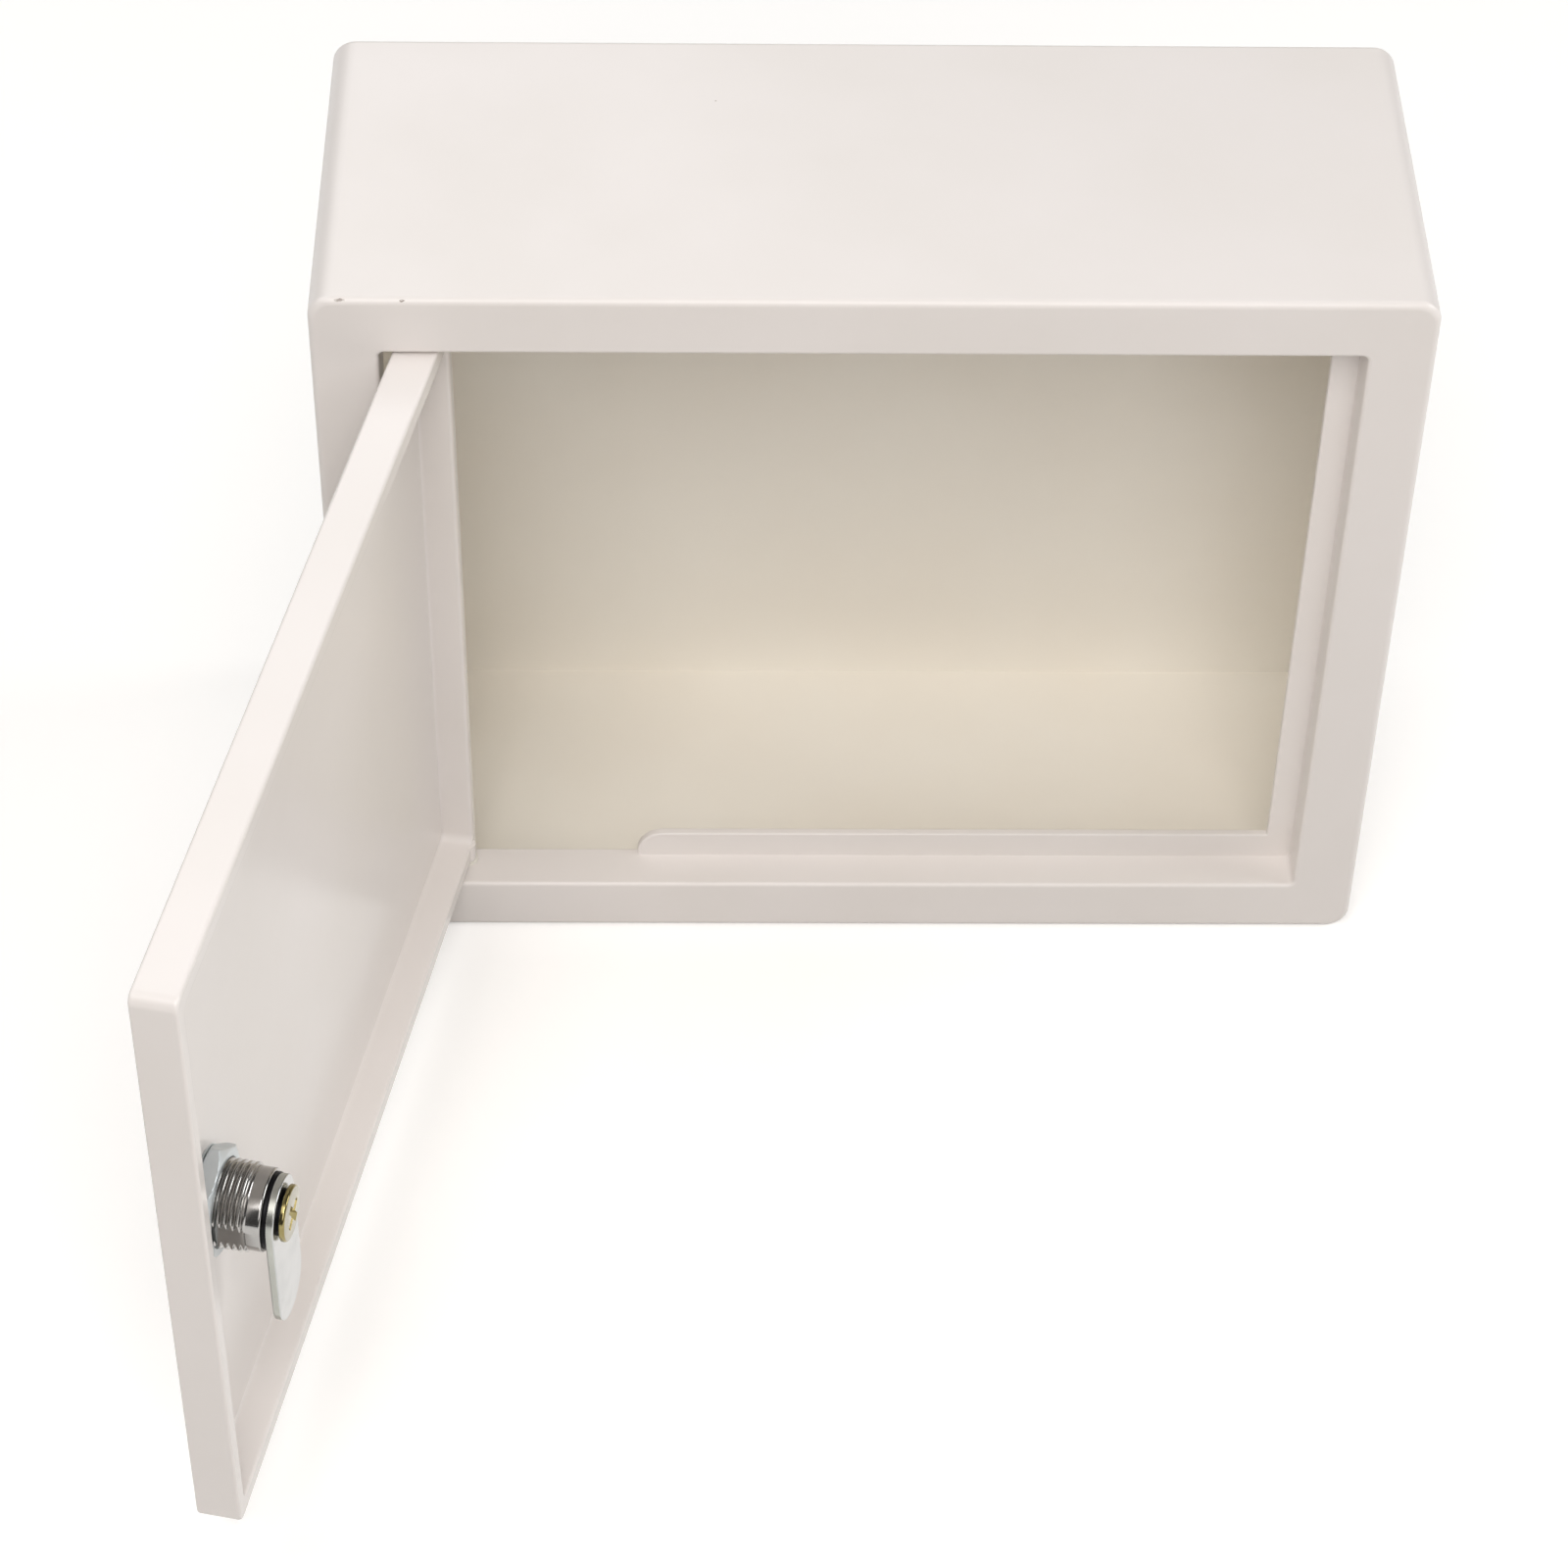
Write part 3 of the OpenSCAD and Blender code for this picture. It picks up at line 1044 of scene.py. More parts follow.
    def build(self, finish: bpy.types.Material) -> bpy.types.Object:
        """Builds the door and cuts the lock's hole with its two flats.

        Args:
            finish: the door's plastic.

        Returns:
            The door, which stands for the CAD door.
        """
        shell = Shell()
        self.tray(shell)
        self.hinge_end(shell)
        tray = shell.build("door_tray", self.sizes.door_place(), finish)
        past = 1.0
        path = [(-past, self.hole_r), (self.sizes.skin_t + past, self.hole_r)]
        hole = Shell()
        hole.loft(turned_rings(path, self.hole_faces, self.hole_flat))
        piece = cut(tray, hole.build("lock_hole", self.sizes.lock_place(), finish))
        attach(piece, "door")
        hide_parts("door")
        return piece


class ThreadInput(Enum):
    """Named inputs of the thread's node tree."""

    LENGTH = "Length"
    RADIUS = "Radius"
    DEPTH = "Thread Depth"
    PITCH = "Pitch"
    FLAT = "Half Width Over Flats"
    RUN_OUT = "Run Out"
    BORE = "Bore Radius"
    AROUND = "Faces Around"
    ALONG = "Rows per Turn"


@dataclass
class CamLock:
    """The cam lock: threaded housing, nut, washers, cam and screw, drawn round its axis."""

    sizes: BoxSizes
    faces_round: int = 160
    barrel_r: float = 9.5
    barrel_end: float = 16.8
    flat: float = 8.6
    pitch: float = 1.41
    thread_depth: float = 0.65
    thread_rows: int = 14
    collar_start: float = 13.7
    collar_sunk: float = 0.3
    collar_r: float = 8.85
    collar_edge_r: float = 0.45
    collar_soft_r: float = 0.1
    flange_r: float = 11.5
    flange_t: float = 2.0
    flange_edge_r: float = 0.9
    flange_back_r: float = 0.15
    flange_mouth_r: float = 0.25
    bore_r: float = 6.05
    head_r: float = 7.05
    head_t: float = 1.45
    nut_af: float = 23.0
    nut_t: float = 4.2
    nut_turn_deg: float = 16.0
    nut_face: float = 0.97  # radius of its round faces, as a share of half the width over flats
    nut_chamfer_deg: float = 30.0
    nut_bore_in: float = 0.05
    nut_mouth_out: float = 0.25
    nut_mouth_t: float = 0.6
    nut_faces: int = 192
    nut_rows: int = 32
    washer_t: float = 0.5
    washer_edge_r: float = 0.12
    washer_mouth_r: float = 0.05
    stop_gap: float = 0.05
    stop_r: float = 8.2
    stop_bore: float = 4.95
    stop_t: float = 0.75
    cam_t: float = 1.8
    cam_w: float = 16.0
    cam_l: float = 31.5
    cam_edge_r: float = 0.3
    cam_faces: int = 24
    spring_washer_r: float = 5.0
    spring_washer_bore: float = 2.6
    spring_washer_t: float = 0.65
    screw_head_r: float = 6.1
    screw_head_t: float = 1.4
    screw_rim: float = 0.8  # height of the head's rim, as a share of the head's
    screw_rim_r: float = 0.55
    screw_dome: float = 0.55  # radius of the dome's flat top, as a share of the head's
    screw_dome_r: float = 3.0
    screw_seat_r: float = 0.15
    screw_axis_r: float = 0.01  # closes the profile without a doubled point on the axis
    screw_faces: int = 96
    shank_r: float = 2.4
    shank_l: float = 6.0
    shank_end_r: float = 0.3
    cross_turn_deg: float = 28.0
    cross_foot: Corner = (-1.0, 3.8, 1.2)  # depth past the head's top, length and width
    cross_mouth: Corner = (0.4, 8.4, 2.1)

    @property
    def stop_y(self) -> float:
        """Depth of the barrel's end, where the stop washer starts."""
        return self.barrel_end + self.stop_gap

    @property
    def cam_y(self) -> float:
        """Depth of the cam's outer face."""
        return self.stop_y + self.stop_t

    @property
    def screw_y(self) -> float:
        """Depth of the screw head's underside."""
        return self.cam_y + self.cam_t + self.spring_washer_t

    def turned(
        self,
        name: str,
        profile: Sequence[Flat],
        finish: bpy.types.Material,
        flat: float = math.inf,
    ) -> bpy.types.Object:
        """Turns a closed profile round the lock's axis.

        Args:
            name: the piece's name.
            profile: depth and radius of each point.
            finish: the piece's material.
            flat: half of the width over its two flats, where it has them.

        Returns:
            The new object.
        """
        shell = Shell()
        shell.loft(turned_rings(profile, self.faces_round, flat), around=True)
        return shell.build(name, self.sizes.lock_place(), finish)

    def thread_tree(self, finish: bpy.types.Material) -> bpy.types.NodeTree:
        """Makes the node tree that wraps a grid round the Y axis as a thread with two flats.

        Args:
            finish: the material of the thread.

        Returns:
            The tree, whose inputs are those of ThreadInput.
        """
        tree = bpy.data.node_groups.new("barrel_thread", "GeometryNodeTree")
        t = ThreadInput
        for item in t:
            kind = "NodeSocketInt" if item in (t.AROUND, t.ALONG) else "NodeSocketFloat"
            tree.interface.new_socket(item.value, in_out="INPUT", socket_type=kind)
        tree.interface.new_socket("Mesh", in_out="OUTPUT", socket_type="NodeSocketGeometry")
        given = add_node(tree, "NodeGroupInput").outputs
        place = add_node(tree, "GeometryNodeInputPosition").outputs[0]
        spot = add_node(tree, "ShaderNodeSeparateXYZ", {0: place}).outputs
        known: dict[Any, bpy.types.NodeSocket] = {item: given[item.value] for item in t}
        known |= {"across": spot["X"], "up": spot["Y"]}
        steps = (
            # how large the grid is
            ("part turns", "DIVIDE", t.LENGTH, t.PITCH),
            ("one turn more", "ADD", "part turns", 1.0),
            ("turns", "CEIL", "one turn more"),
            ("rows", "MULTIPLY", "turns", t.ALONG),
            ("points around", "ADD", t.AROUND, 1.0),
            ("points along", "ADD", "rows", 1.0),
            # where a point of the grid lies along the barrel
            ("turn", "ADD", "across", 0.5),
            ("share up", "ADD", "up", 0.5),
            ("rows up", "MULTIPLY", "share up", "rows"),
            ("wound", "DIVIDE", "rows up", t.ALONG),
            ("wound on", "ADD", "wound", "turn"),
            ("turns up", "SUBTRACT", "wound on", 1.0),
            ("climb", "MULTIPLY", "turns up", t.PITCH),
            ("climbed", "MAXIMUM", "climb", 0.0),
            ("along", "MINIMUM", "climbed", t.LENGTH),
            # how high the thread stands there: sloping flanks between narrow flats, and
            # fading out at both ends
            ("half ramp", "PINGPONG", "wound", 0.5),
            ("ramp", "MULTIPLY", "half ramp", 2.0),
            ("crest", "SMOOTHSTEP", "ramp", 0.15, 0.85),
            ("left over", "SUBTRACT", t.LENGTH, "along"),
            ("to an end", "MINIMUM", "along", "left over"),
            ("fade", "LINEAR", "to an end", 0.0, t.RUN_OUT),
            ("ridge", "MULTIPLY", "crest", "fade"),
            ("height", "MULTIPLY", "ridge", t.DEPTH),
            ("root", "SUBTRACT", t.RADIUS, t.DEPTH),
            ("screw", "ADD", "root", "height"),
            # the grid's two end rows drop to the bore and close both ends
            ("off middle", "ABSOLUTE", "up"),
            ("end", "GREATER_THAN", "off middle", 0.4999),
            ("drop", "SUBTRACT", t.BORE, "screw"),
            ("step", "MULTIPLY", "drop", "end"),
            ("radius", "ADD", "screw", "step"),
            # the point round the axis, held within the flats
            ("angle", "MULTIPLY", "turn", FULL_TURN),
            ("cosine", "COSINE", "angle"),
            ("sine", "SINE", "angle"),
            ("side", "MULTIPLY", "radius", "cosine"),
            ("far flat", "MULTIPLY", t.FLAT, -1.0),
            ("held", "MAXIMUM", "side", "far flat"),
            ("x", "MINIMUM", "held", t.FLAT),
            ("z", "MULTIPLY", "radius", "sine"),
        )
        for name, operation, *terms in steps:
            ranged = operation in ("SMOOTHSTEP", "LINEAR")
            node = add_node(
                tree,
                "ShaderNodeMapRange" if ranged else "ShaderNodeMath",
                {i: known.get(term, term) for i, term in enumerate(terms)},
                **{"interpolation_type" if ranged else "operation": operation},
            )
            known[name] = node.outputs[0]
        mesh = add_node(
            tree,
            "GeometryNodeMeshGrid",
            {
                "Size X": 1.0,
                "Size Y": 1.0,
                "Vertices X": known["points around"],
                "Vertices Y": known["points along"],
            },
        ).outputs["Mesh"]
        wrapped = add_node(
            tree,
            "ShaderNodeCombineXYZ",
            {"X": known["x"], "Y": known["along"], "Z": known["z"]},
        ).outputs[0]
        for kind, inputs in (
            ("GeometryNodeSetPosition", {"Position": wrapped}),
            ("GeometryNodeMergeByDistance", {"Distance": MERGE_MM}),
            ("GeometryNodeSetShadeSmooth", {}),
            ("GeometryNodeRealizeInstances", {}),
            ("GeometryNodeSetMaterial", {"Material": finish}),
        ):
            mesh = add_node(tree, kind, {0: mesh, **inputs}).outputs[0]
        add_node(tree, "NodeGroupOutput", {0: mesh})
        return tree

    def thread(self, finish: bpy.types.Material) -> bpy.types.Object:
        """Makes the threaded stretch of the barrel with its node tree.

        Args:
            finish: the material of the thread.

        Returns:
            The thread as a plain mesh, open along its bore, which the plug fills.
        """
        tree = self.thread_tree(finish)
        values = {
            ThreadInput.LENGTH: self.collar_start,
            ThreadInput.RADIUS: self.barrel_r,
            ThreadInput.DEPTH: self.thread_depth,
            ThreadInput.PITCH: self.pitch,
            ThreadInput.FLAT: self.flat,
            ThreadInput.RUN_OUT: self.pitch / 2,
            ThreadInput.BORE: self.bore_r,
            ThreadInput.AROUND: self.faces_round,
            ThreadInput.ALONG: self.thread_rows,
        }
        piece = bpy.data.objects.new("barrel_thread", bpy.data.meshes.new("barrel_thread"))
        bpy.context.scene.collection.objects.link(piece)
        modifier = piece.modifiers.new("thread", "NODES")
        modifier.node_group = tree
        for item in tree.interface.items_tree:
            if item.in_out == "INPUT":
                modifier[item.identifier] = values[ThreadInput(item.name)]
        return as_piece("barrel_thread", baked(piece), self.sizes.lock_place(), finish)

    def housing(self, finish: bpy.types.Material) -> bpy.types.Object:
        """Makes the housing: outer flange, threaded barrel with two flats and a plain collar.

        Args:
            finish: its plating.

        Returns:
            The housing, which stands for the CAD housing.
        """
        seat = self.head_t - self.flange_t
        front = rounded_path(
            [
                (-self.flange_t, self.head_r, self.flange_mouth_r),
                (-self.flange_t, self.flange_r, self.flange_edge_r),
                (0.0, self.flange_r, self.flange_back_r),
                (0.0, self.bore_r, 0),
                (seat, self.bore_r, 0),
                (seat, self.head_r, 0),
            ],
            steps=5,
        )
        flange = self.turned("lock_flange", front, finish)
        start = self.collar_start - self.collar_sunk
        root = self.barrel_r - self.thread_depth
        collar = rounded_path(
            [
                (start, root, 0),
                (self.collar_start, root, 0),
                (self.collar_start, self.collar_r, self.collar_soft_r),
                (self.barrel_end, self.collar_r, self.collar_edge_r),
                (self.barrel_end, self.bore_r, self.collar_soft_r),
                (start, self.bore_r, 0),
            ],
            steps=4,
        )
        end = self.turned("lock_collar", collar, finish, self.flat)
        piece = joined("lock_housing_threaded", [self.thread(finish), flange, end])
        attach(piece, "door")
        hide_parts("lock_housing")
        return piece

    def nut(self, finish: bpy.types.Material) -> bpy.types.Object:
        """Makes the hex nut, its corners turned off at both faces.

        Args:
            finish: its plating.

        Returns:
            The nut, which stands for the CAD nut.
        """
        start = self.sizes.skin_t + self.washer_t
        end = start + self.nut_t
        half, side = self.nut_af / 2, FULL_TURN / 6
        reach, face = half / math.cos(side / 2), half * self.nut_face
        chamfer = (reach - face) * math.tan(math.radians(self.nut_chamfer_deg))
        shell = Shell()
        rings = []
        for k in range(self.nut_rows + 1):
            depth = start + (end - start) * k / self.nut_rows
            from_face = min(depth - start, end - depth)
            limit = min(reach, face + (reach - face) * from_face / chamfer)
            ring = []
            for j in range(self.nut_faces):
                angle = FULL_TURN * j / self.nut_faces
                facing = (angle + math.radians(self.nut_turn_deg)) % side
                radius = min(half / math.cos(facing - side / 2), limit)
                ring.append((radius * math.cos(angle), depth, radius * math.sin(angle)))
            rings.append(shell.ring(ring))
        bore, mouth = self.barrel_r - self.nut_bore_in, self.barrel_r + self.nut_mouth_out
        hole = [
            (end, mouth),
            (end - self.nut_mouth_t, bore),
            (start + self.nut_mouth_t, bore),
            (start, mouth),
        ]
        rings += [shell.ring(ring) for ring in turned_rings(hole, self.nut_faces)]
        for a, b in zip(rings, rings[1:] + rings[:1]):
            shell.bridge(a, b)
        piece = shell.build("lock_nut_hex", self.sizes.lock_place(), finish)
        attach(piece, "door")
        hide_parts("lock_nut")
        return piece

    def cam(self, finish: bpy.types.Material, edge_finish: bpy.types.Material) -> bpy.types.Object:
        """Makes the cam: a stamped blade with round ends and softened edges.

        Args:
            finish: the plating on both faces.
            edge_finish: the plating on the sheared edge.

        Returns:
            The cam, which stands for the CAD cam.
        """
        half = self.cam_w / 2
        drop = self.cam_l - half

        def blade(depth: float, inset: float) -> list[Corner]:
            """Draws a ring round the blade.

            Args:
                depth: the ring's depth.
                inset: how far inside the blade's edge it runs.

            Returns:
                Its points, from the lock's side.
            """
            r, ring = half - inset, []
            for first, low in ((0.0, 0.0), (math.pi, drop)):
                for k in range(self.cam_faces + 1):
                    a = first + math.pi * k / self.cam_faces
                    ring.append((r * math.cos(a), depth, r * math.sin(a) - low))
            return ring

        profile = plate_edge(self.cam_y, self.cam_y + self.cam_t, self.cam_edge_r, steps=4)
        at_edge = 0.01

        def region(i: int) -> Region:
            """Tells the sheared edge from the faces."""
            return Region.INSIDE if profile[i][1] < at_edge else Region.OUTSIDE

        shell = Shell()
        shell.loft([blade(depth, inset) for depth, inset in profile], region=region)
        piece = shell.build("cam_blade", self.sizes.lock_place(), finish, edge_finish)
        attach(piece, "lock_plug")
        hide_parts("cam")
        return piece

    def disc(
        self,
        name: str,
        node: str,
        depths: Flat,
        radii: Flat,
        finish: bpy.types.Material,
    ) -> bpy.types.Object:
        """Makes a washer of the cam's stack.

        Args:
            name: the washer's name.
            node: the CAD node that it stands for.
            depths: depth of its two faces.
            radii: radius of its bore and of its edge.
            finish: its material.

        Returns:
            The washer.
        """
        bore, edge = radii
        profile = [
            (depths[0], bore, self.washer_mouth_r),
            (depths[0], edge, self.washer_edge_r),
            (depths[1], edge, self.washer_edge_r),
            (depths[1], bore, self.washer_mouth_r),
        ]
        piece = self.turned(name, rounded_path(profile, steps=4), finish)
        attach(piece, "lock_plug")
        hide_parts(node)
        return piece

    def screw(
        self, finish: bpy.types.Material, grey_face: bpy.types.Material
    ) -> bpy.types.Object:
        """Makes the cam screw: a low domed head with a cross recess, and a plain shank.

        Args:
            finish: the plating at the rim, on the shank and in the recess.
            grey_face: the greyer plating on the face of the head.

        Returns:
            The screw, which stands for the CAD screw.
        """
        y, r, axis = self.screw_y, self.screw_head_r, self.screw_axis_r
        top, rim = y + self.screw_head_t, y + self.screw_head_t * self.screw_rim
        profile = rounded_path(
            [
                (y - self.shank_l, axis, 0),
                (y - self.shank_l, self.shank_r, self.shank_end_r),
                (y, self.shank_r, 0),
                (y, r, self.screw_seat_r),
                (rim, r, self.screw_rim_r),
                (top, r * self.screw_dome, self.screw_dome_r),
                (top, axis, 0),
            ],
            closed=False,
            steps=6,
        )
        face_r = 0.95 * r

        def region(i: int) -> Region:
            """Tells the greyer face of the head from its rim and the shank."""
            depth, radius = profile[i]
            return Region.INSIDE if depth > rim and radius < face_r else Region.OUTSIDE

        shell = Shell()
        shell.loft(turned_rings(profile, self.screw_faces), region=region)
        head = shell.build("cam_screw_cross", self.sizes.lock_place(), finish, grey_face)
        slots = Shell()
        for quarter in (0, 90):
            turn = Matrix.Rotation(math.radians(self.cross_turn_deg + quarter), 3, "Y")
            rings = []
            for past, wide, high in (self.cross_foot, self.cross_mouth):
                a, b = wide / 2, high / 2
                corners = [(-a, -b), (a, -b), (a, b), (-a, b)]
                rings.append([turn @ Vector((u, top + past, v)) for u, v in corners])
            slots.loft(rings)
        piece = cut(head, slots.build("cross_recess", self.sizes.lock_place(), finish))
        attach(piece, "lock_plug")
        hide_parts("cam_screw")
        return piece


@dataclass(frozen=True)
class Softbox:
    """A soft lamp: where it stands, its size, power and colour, and what it faces."""

    name: str
    place: Corner
    size: Flat
    watts: float
    colour: str
    target: Corner = (0.0, -0.05, 0.08)

    def build(self) -> None:
        """Makes the lamp and turns it to its target."""
        data = bpy.data.lights.new(self.name, "AREA")
        data.shape = "RECTANGLE"
        data.size, data.size_y = self.size
        data.energy = self.watts
        data.color = linear(self.colour)[:3]
        lamp = bpy.data.objects.new(self.name, data)
        lamp.location = self.place
        facing = Vector(self.target) - Vector(self.place)
        lamp.rotation_euler = facing.to_track_quat("-Z", "Y").to_euler()
        bpy.context.scene.collection.objects.link(lamp)


@dataclass(frozen=True)
class Studio:
    """Pale floor, five soft lamps, a dim room and the camera."""

    camera_mm: Corner = (-38.636, -793.123, 800.756)
    turn_deg: float = 1.592
    tilt_deg: float = 45.201
    roll_deg: float = 1.281
    lens_mm: float = 99.64
    sensor_mm: float = 36.0
    sees_from_m: float = 0.01
    sees_to_m: float = 50.0
    floor_m: float = 6.0
    lamps: tuple[Softbox, ...] = (
        Softbox("high_softbox", (-0.12, -0.85, 1.23), (0.8, 0.6), 9.3, "#FFFBF8"),
        Softbox("low_softbox", (0.12, -1.25, 0.78), (1.0, 0.6), 3.7, "#FFFBF8"),
        Softbox("side_softbox", (1.21, -0.05, 0.78), (0.8, 0.6), 8.6, "#FFFFFF"),
        Softbox("left_softbox", (-0.9, -0.05, 1.15), (0.8, 0.6), 4.0, "#FFFFFF"),
        Softbox("back_softbox", (-0.45, 0.75, 1.0), (1.2, 0.6), 3.8, "#FFFFFF"),
    )
    room: str = "#FFFDFB"
    room_strength: float = 0.08
    floor_colour: str = "#F4F3F1"
    floor_bounce: str = "#C9C7C4"
    floor_lift: float = 0.26
    near_m: float = 0.6
    far_m: float = 2.0

    def camera(self) -> None:
        """Makes the scene's camera at the photograph's viewing angle."""
        turn, tilt = math.radians(self.turn_deg), math.radians(self.tilt_deg)
        level_x, level_y = math.sin(turn) * math.cos(tilt), math.cos(turn) * math.cos(tilt)
        look = Vector((level_x, level_y, -math.sin(tilt)))
        level = look.cross(Vector((0, 0, 1))).normalized()
        above = level.cross(look)
        roll = math.radians(self.roll_deg)
        right = level * math.cos(roll) + above * math.sin(roll)
        up = right.cross(look)
        data = bpy.data.cameras.new("camera")
        data.lens = self.lens_mm
        data.sensor_width = self.sensor_mm
        data.clip_start = self.sees_from_m
        data.clip_end = self.sees_to_m
        camera = bpy.data.objects.new("camera", data)
        axes = Matrix((right, up, -look)).transposed().to_4x4()
        camera.matrix_world = Matrix.Translation(Vector(self.camera_mm) * MM) @ axes
        bpy.context.scene.collection.objects.link(camera)
        bpy.context.scene.camera = camera

    def paper(self) -> bpy.types.Material:
        """Makes the floor's paper: pale grey to the light, and white far from the box.

        Returns:
            A material that is lifted to white only where it is seen or mirrored.
        """
        material = bpy.data.materials.new("floor_paper")
        material.use_nodes = True
        tree = material.node_tree
        tree.nodes.clear()
        rays = add_node(tree, "ShaderNodeLightPath").outputs
        seen = add_node(
            tree,
            "ShaderNodeMath",
            {0: rays["Is Camera Ray"], 1: rays["Is Glossy Ray"]},
            operation="MAXIMUM",
        ).outputs[0]
        colour = add_node(
            tree,
            "ShaderNodeMix",
            {"Factor": seen, "A": linear(self.floor_bounce), "B": linear(self.floor_colour)},
            data_type="RGBA",
        ).outputs["Result"]
        matt = add_node(tree, "ShaderNodeBsdfDiffuse", {"Color": colour}).outputs[0]
        place = add_node(tree, "ShaderNodeTexCoord").outputs["Object"]
        away = add_node(
            tree, "ShaderNodeVectorMath", {0: place}, operation="LENGTH"
        ).outputs["Value"]
        glow = add_node(
            tree,
            "ShaderNodeMapRange",
            {
                "Value": away,
                "From Min": self.near_m,
                "From Max": self.far_m,
                "To Min": self.floor_lift,
                "To Max": 1.0,
            },
        ).outputs["Result"]
        shown = add_node(
            tree, "ShaderNodeMath", {0: seen, 1: glow}, operation="MULTIPLY"
        ).outputs[0]
        lift = add_node(
            tree, "ShaderNodeEmission", {"Color": (1, 1, 1, 1), "Strength": shown}
        ).outputs[0]
        both = add_node(tree, "ShaderNodeAddShader", {0: matt, 1: lift}).outputs[0]
        add_node(tree, "ShaderNodeOutputMaterial", {"Surface": both})
        return material

    def floor(self) -> None:
        """Makes the floor that the box stands on."""
        half = self.floor_m / 2
        mesh = bpy.data.meshes.new("floor")
        corners = [(-half, -half, 0), (half, -half, 0), (half, half, 0), (-half, half, 0)]
        mesh.from_pydata(corners, [], [(0, 1, 2, 3)])
        mesh.materials.append(self.paper())
        floor = bpy.data.objects.new("floor", mesh)
        bpy.context.scene.collection.objects.link(floor)

    def light(self) -> None:
        """Makes the lamps and the dim room, which the camera itself sees as white."""
        for lamp in self.lamps:
            lamp.build()
        world = bpy.data.worlds.new("room")
        world.use_nodes = True
        tree = world.node_tree
        ground = tree.nodes["Background"]
        seen = add_node(tree, "ShaderNodeLightPath").outputs["Is Camera Ray"]
        strength = add_node(
            tree,
            "ShaderNodeMapRange",
            {"Value": seen, "To Min": self.room_strength, "To Max": 1.0},
        ).outputs["Result"]
        tree.links.new(strength, ground.inputs["Strength"])
        ground.inputs["Color"].default_value = linear(self.room)
        bpy.context.scene.world = world

    def build(self) -> None:
        """Sets up the view transform, the camera, the floor and the light."""
        bpy.context.scene.view_settings.view_transform = "Standard"
        self.camera()
        self.floor()
        self.light()


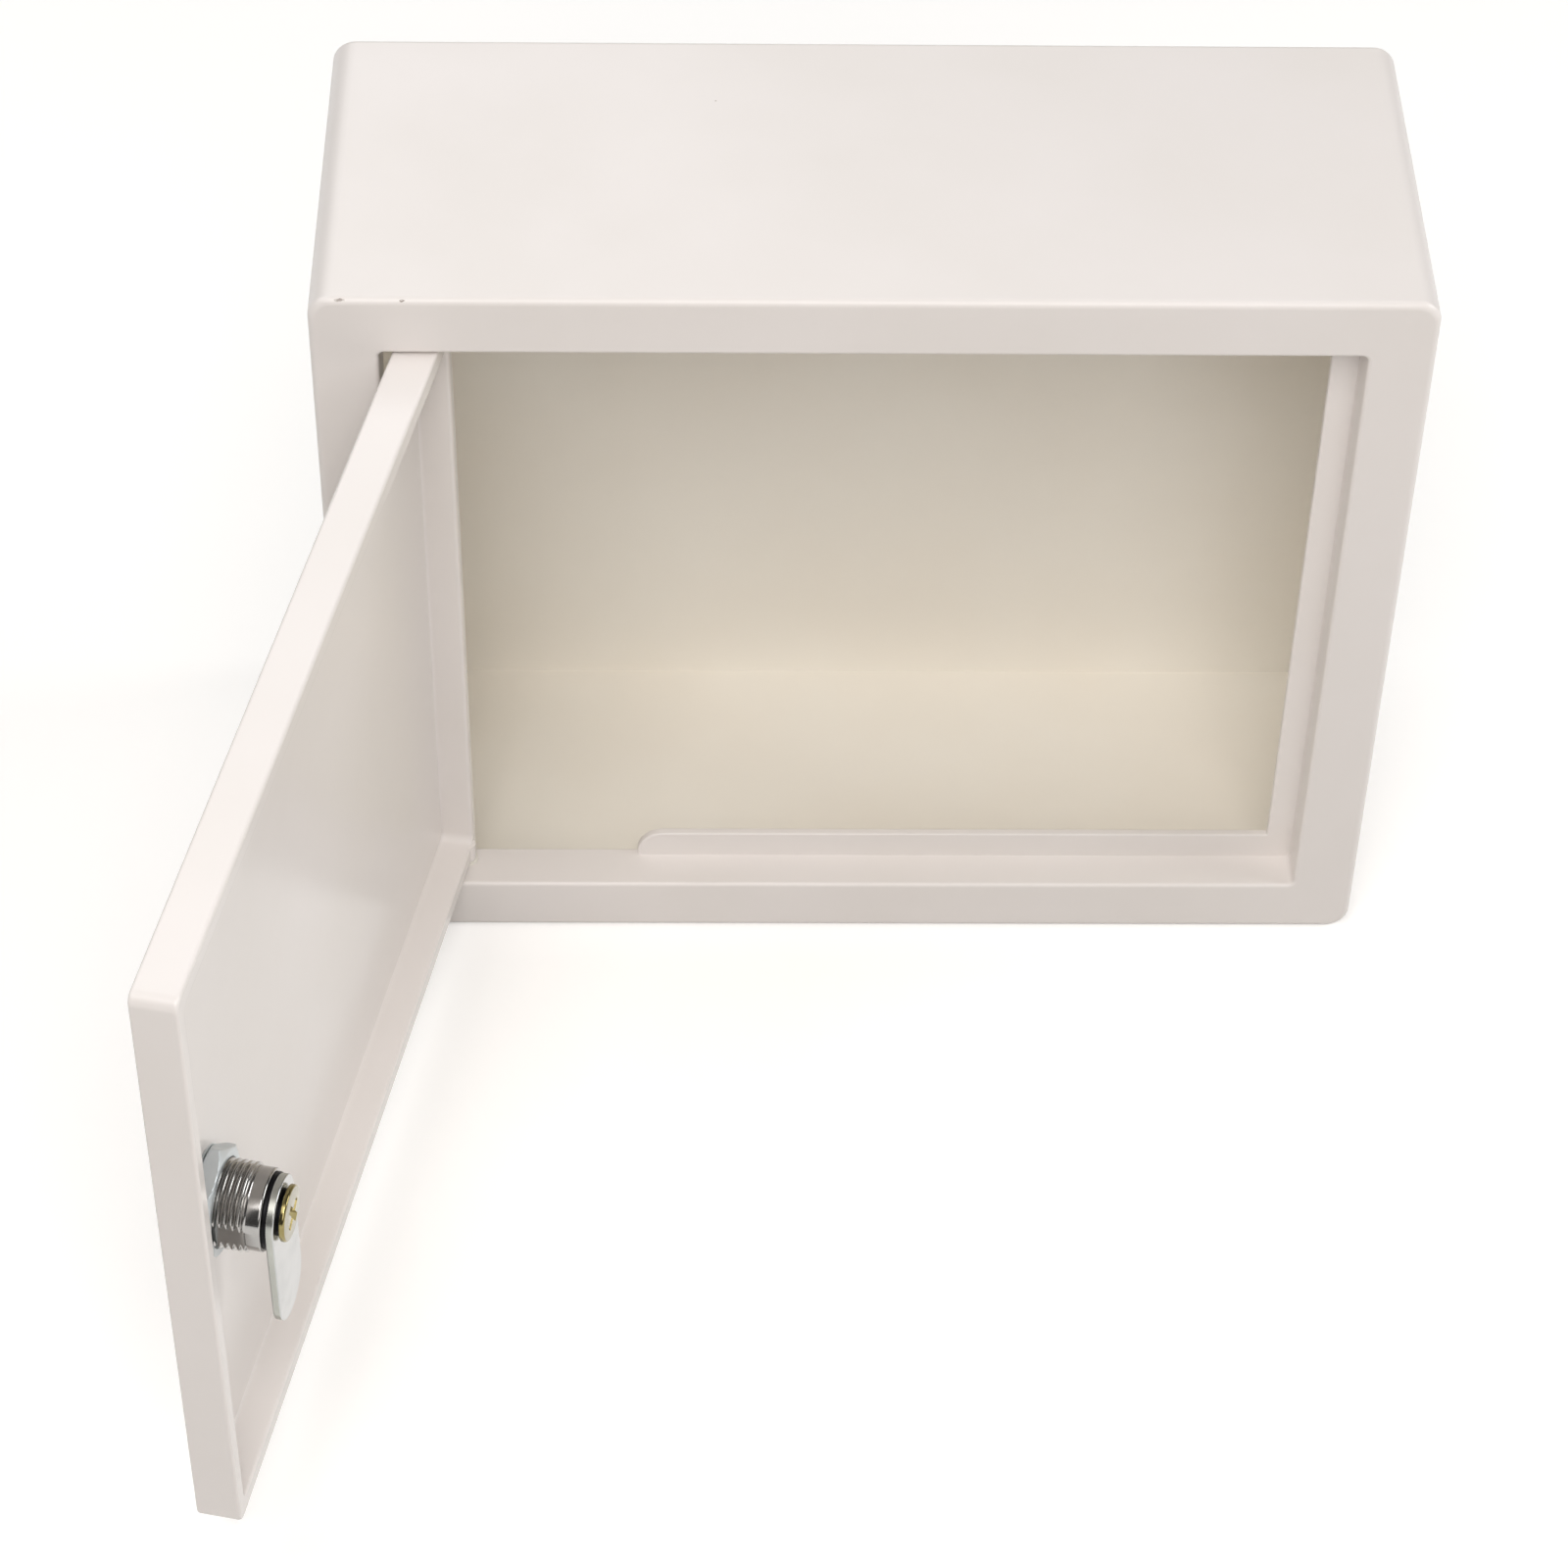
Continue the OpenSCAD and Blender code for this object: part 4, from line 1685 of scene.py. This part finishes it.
@dataclass(frozen=True)
class Finishes:
    """Every finish of the box, each made once."""

    sizes: BoxSizes

    def chips(self) -> tuple[tuple[float, ...], ...]:
        """Places the two small dark scuffs at the casing's front upper edge.

        Returns:
            Place in the row frame in metres, and half width in millimetres, of each.
        """
        place, height = self.sizes.casing_place(), self.sizes.height
        spots = (((8.0, 0.95, height - 0.15), 0.9), ((21.8, 0.9, height - 0.2), 0.6))
        return tuple((*(place @ Vector(spot)), size_mm) for spot, size_mm in spots)

    def build(self) -> dict[str, bpy.types.Material]:
        """Makes the materials.

        Returns:
            The materials by the name of what they cover.
        """
        plain = {
            # White ABS from a polished mould: even, softly glossy, faintly warm.
            "outside": MouldedPlastic(
                "white_abs", "#EEE9E6", "#EBE6E2", 0.34, scuffs=self.chips()
            ),
            # The storage space is the same plastic in ivory; its cream is lighter than the outside
            # white, a painted glow for the light that gathers in there.
            "inside": MouldedPlastic("ivory_abs_painted_glow", "#FBF7EE", "#F9F4EA", 0.4),
            # The door is the white ABS with a finer polish: faint, soft reflections.
            "door": MouldedPlastic("white_abs_door", "#EFEAE7", "#ECE7E3", 0.24),
            # Chromed zinc casting: mirror-like, grey where it reflects the dim room.
            "chrome": PlatedMetal("chromed_zinc", "#B3B2B0", "#9B9A98", 0.17),
            # Blue-passivated zinc on steel: pale, cool and slightly cloudy.
            "zinc": PlatedMetal("blue_zinc", "#D9DFE1", "#CBD2D5", 0.36, metallic=0.65),
            # Bright zinc on a stamped blade: clear, soft-edged reflections.
            "blade": PlatedMetal("bright_zinc", "#C7C9CA", "#BDC0C1", 0.2),
            # The same zinc on the blade's sheared edge: greyer and duller.
            "sheared": PlatedMetal("sheared_zinc", "#BFC1BB", "#A9ABA5", 0.36),
            # Yellow-passivated zinc: olive gold with bright glints.
            "gold": PlatedMetal("yellow_zinc", "#AA9E70", "#82784E", 0.19),
            # The same zinc, paler and greyer on the face of the head: pale grey with a trace of
            # yellow.
            "grey_face": PlatedMetal("grey_face_yellow_zinc", "#C0BEB2", "#A8A699", 0.28),
            # Black oxide on steel: near black, with a dull sheen; the black also paints the shade
            # in the narrow gaps round the washers.
            "black": PlatedMetal("black_oxide_and_gap_shade", "#2A2A2C", "#202022", 0.45),
            # Stamped brass: warm yellow, fairly bright.
            "brass": PlatedMetal("brass", "#D3B36A", "#C4A257", 0.25),
            # Drawn steel, as wire and as pins: plain bright grey.
            "steel": PlatedMetal("bright_steel", "#C9C9CB", "#B9B9BC", 0.22),
            # Natural nylon: off-white and waxy, with a broad soft gloss.
            "nylon": MouldedPlastic("nylon", "#EDEAE2", "#E7E3D9", 0.45),
        }
        return {key: finish.build() for key, finish in plain.items()}


def dress(finishes: dict[str, bpy.types.Material]) -> None:
    """Gives the CAD pieces that stay in view their finishes.

    Args:
        finishes: the materials by the name of what they cover.
    """
    nodes = {
        # the back panel takes the storage space's finish, with its painted glow
        "back_panel": "inside",
        "hinge_pin_top": "steel",
        "hinge_pin_bottom": "steel",
        "hinge_washer_top": "nylon",
        "hinge_washer_bottom": "nylon",
        "lock_washer": "zinc",
        "lock_plug": "chrome",
        "wafer_springs": "steel",
        **{f"wafer_{i}": "brass" for i in range(1, 6)},
    }
    for node, key in nodes.items():
        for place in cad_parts[node].material_slots:
            place.material = finishes[key]
        LOG.info("dressed %s as %s", node, finishes[key].name)


def main() -> None:
    """Builds the box's looks piece by piece."""
    logging.basicConfig(level=logging.INFO, format="%(name)s: %(message)s")
    sizes = BoxSizes.from_frame()
    finishes = Finishes(sizes).build()
    Studio().build()
    dress(finishes)
    lock = CamLock(sizes)
    made = [
        CasingShell(sizes).build(finishes["outside"], finishes["inside"]),
        DoorTray(sizes).build(finishes["door"]),
        lock.housing(finishes["chrome"]),
        lock.nut(finishes["zinc"]),
        lock.cam(finishes["blade"], finishes["sheared"]),
        # both washers are near black, which also paints the shade in the narrow gaps between
        # barrel, cam and screw head
        lock.disc(
            "stop_washer_black",
            "stop_washer",
            (lock.stop_y, lock.cam_y),
            (lock.stop_bore, lock.stop_r),
            finishes["black"],
        ),
        lock.disc(
            "spring_washer_dark",
            "spring_washer",
            (lock.cam_y + lock.cam_t, lock.screw_y),
            (lock.spring_washer_bore, lock.spring_washer_r),
            finishes["black"],
        ),
        lock.screw(finishes["gold"], finishes["grey_face"]),
    ]
    for piece in made:
        LOG.info("made %s with %d faces", piece.name, len(piece.data.polygons))


if __name__ == "__main__":
    main()
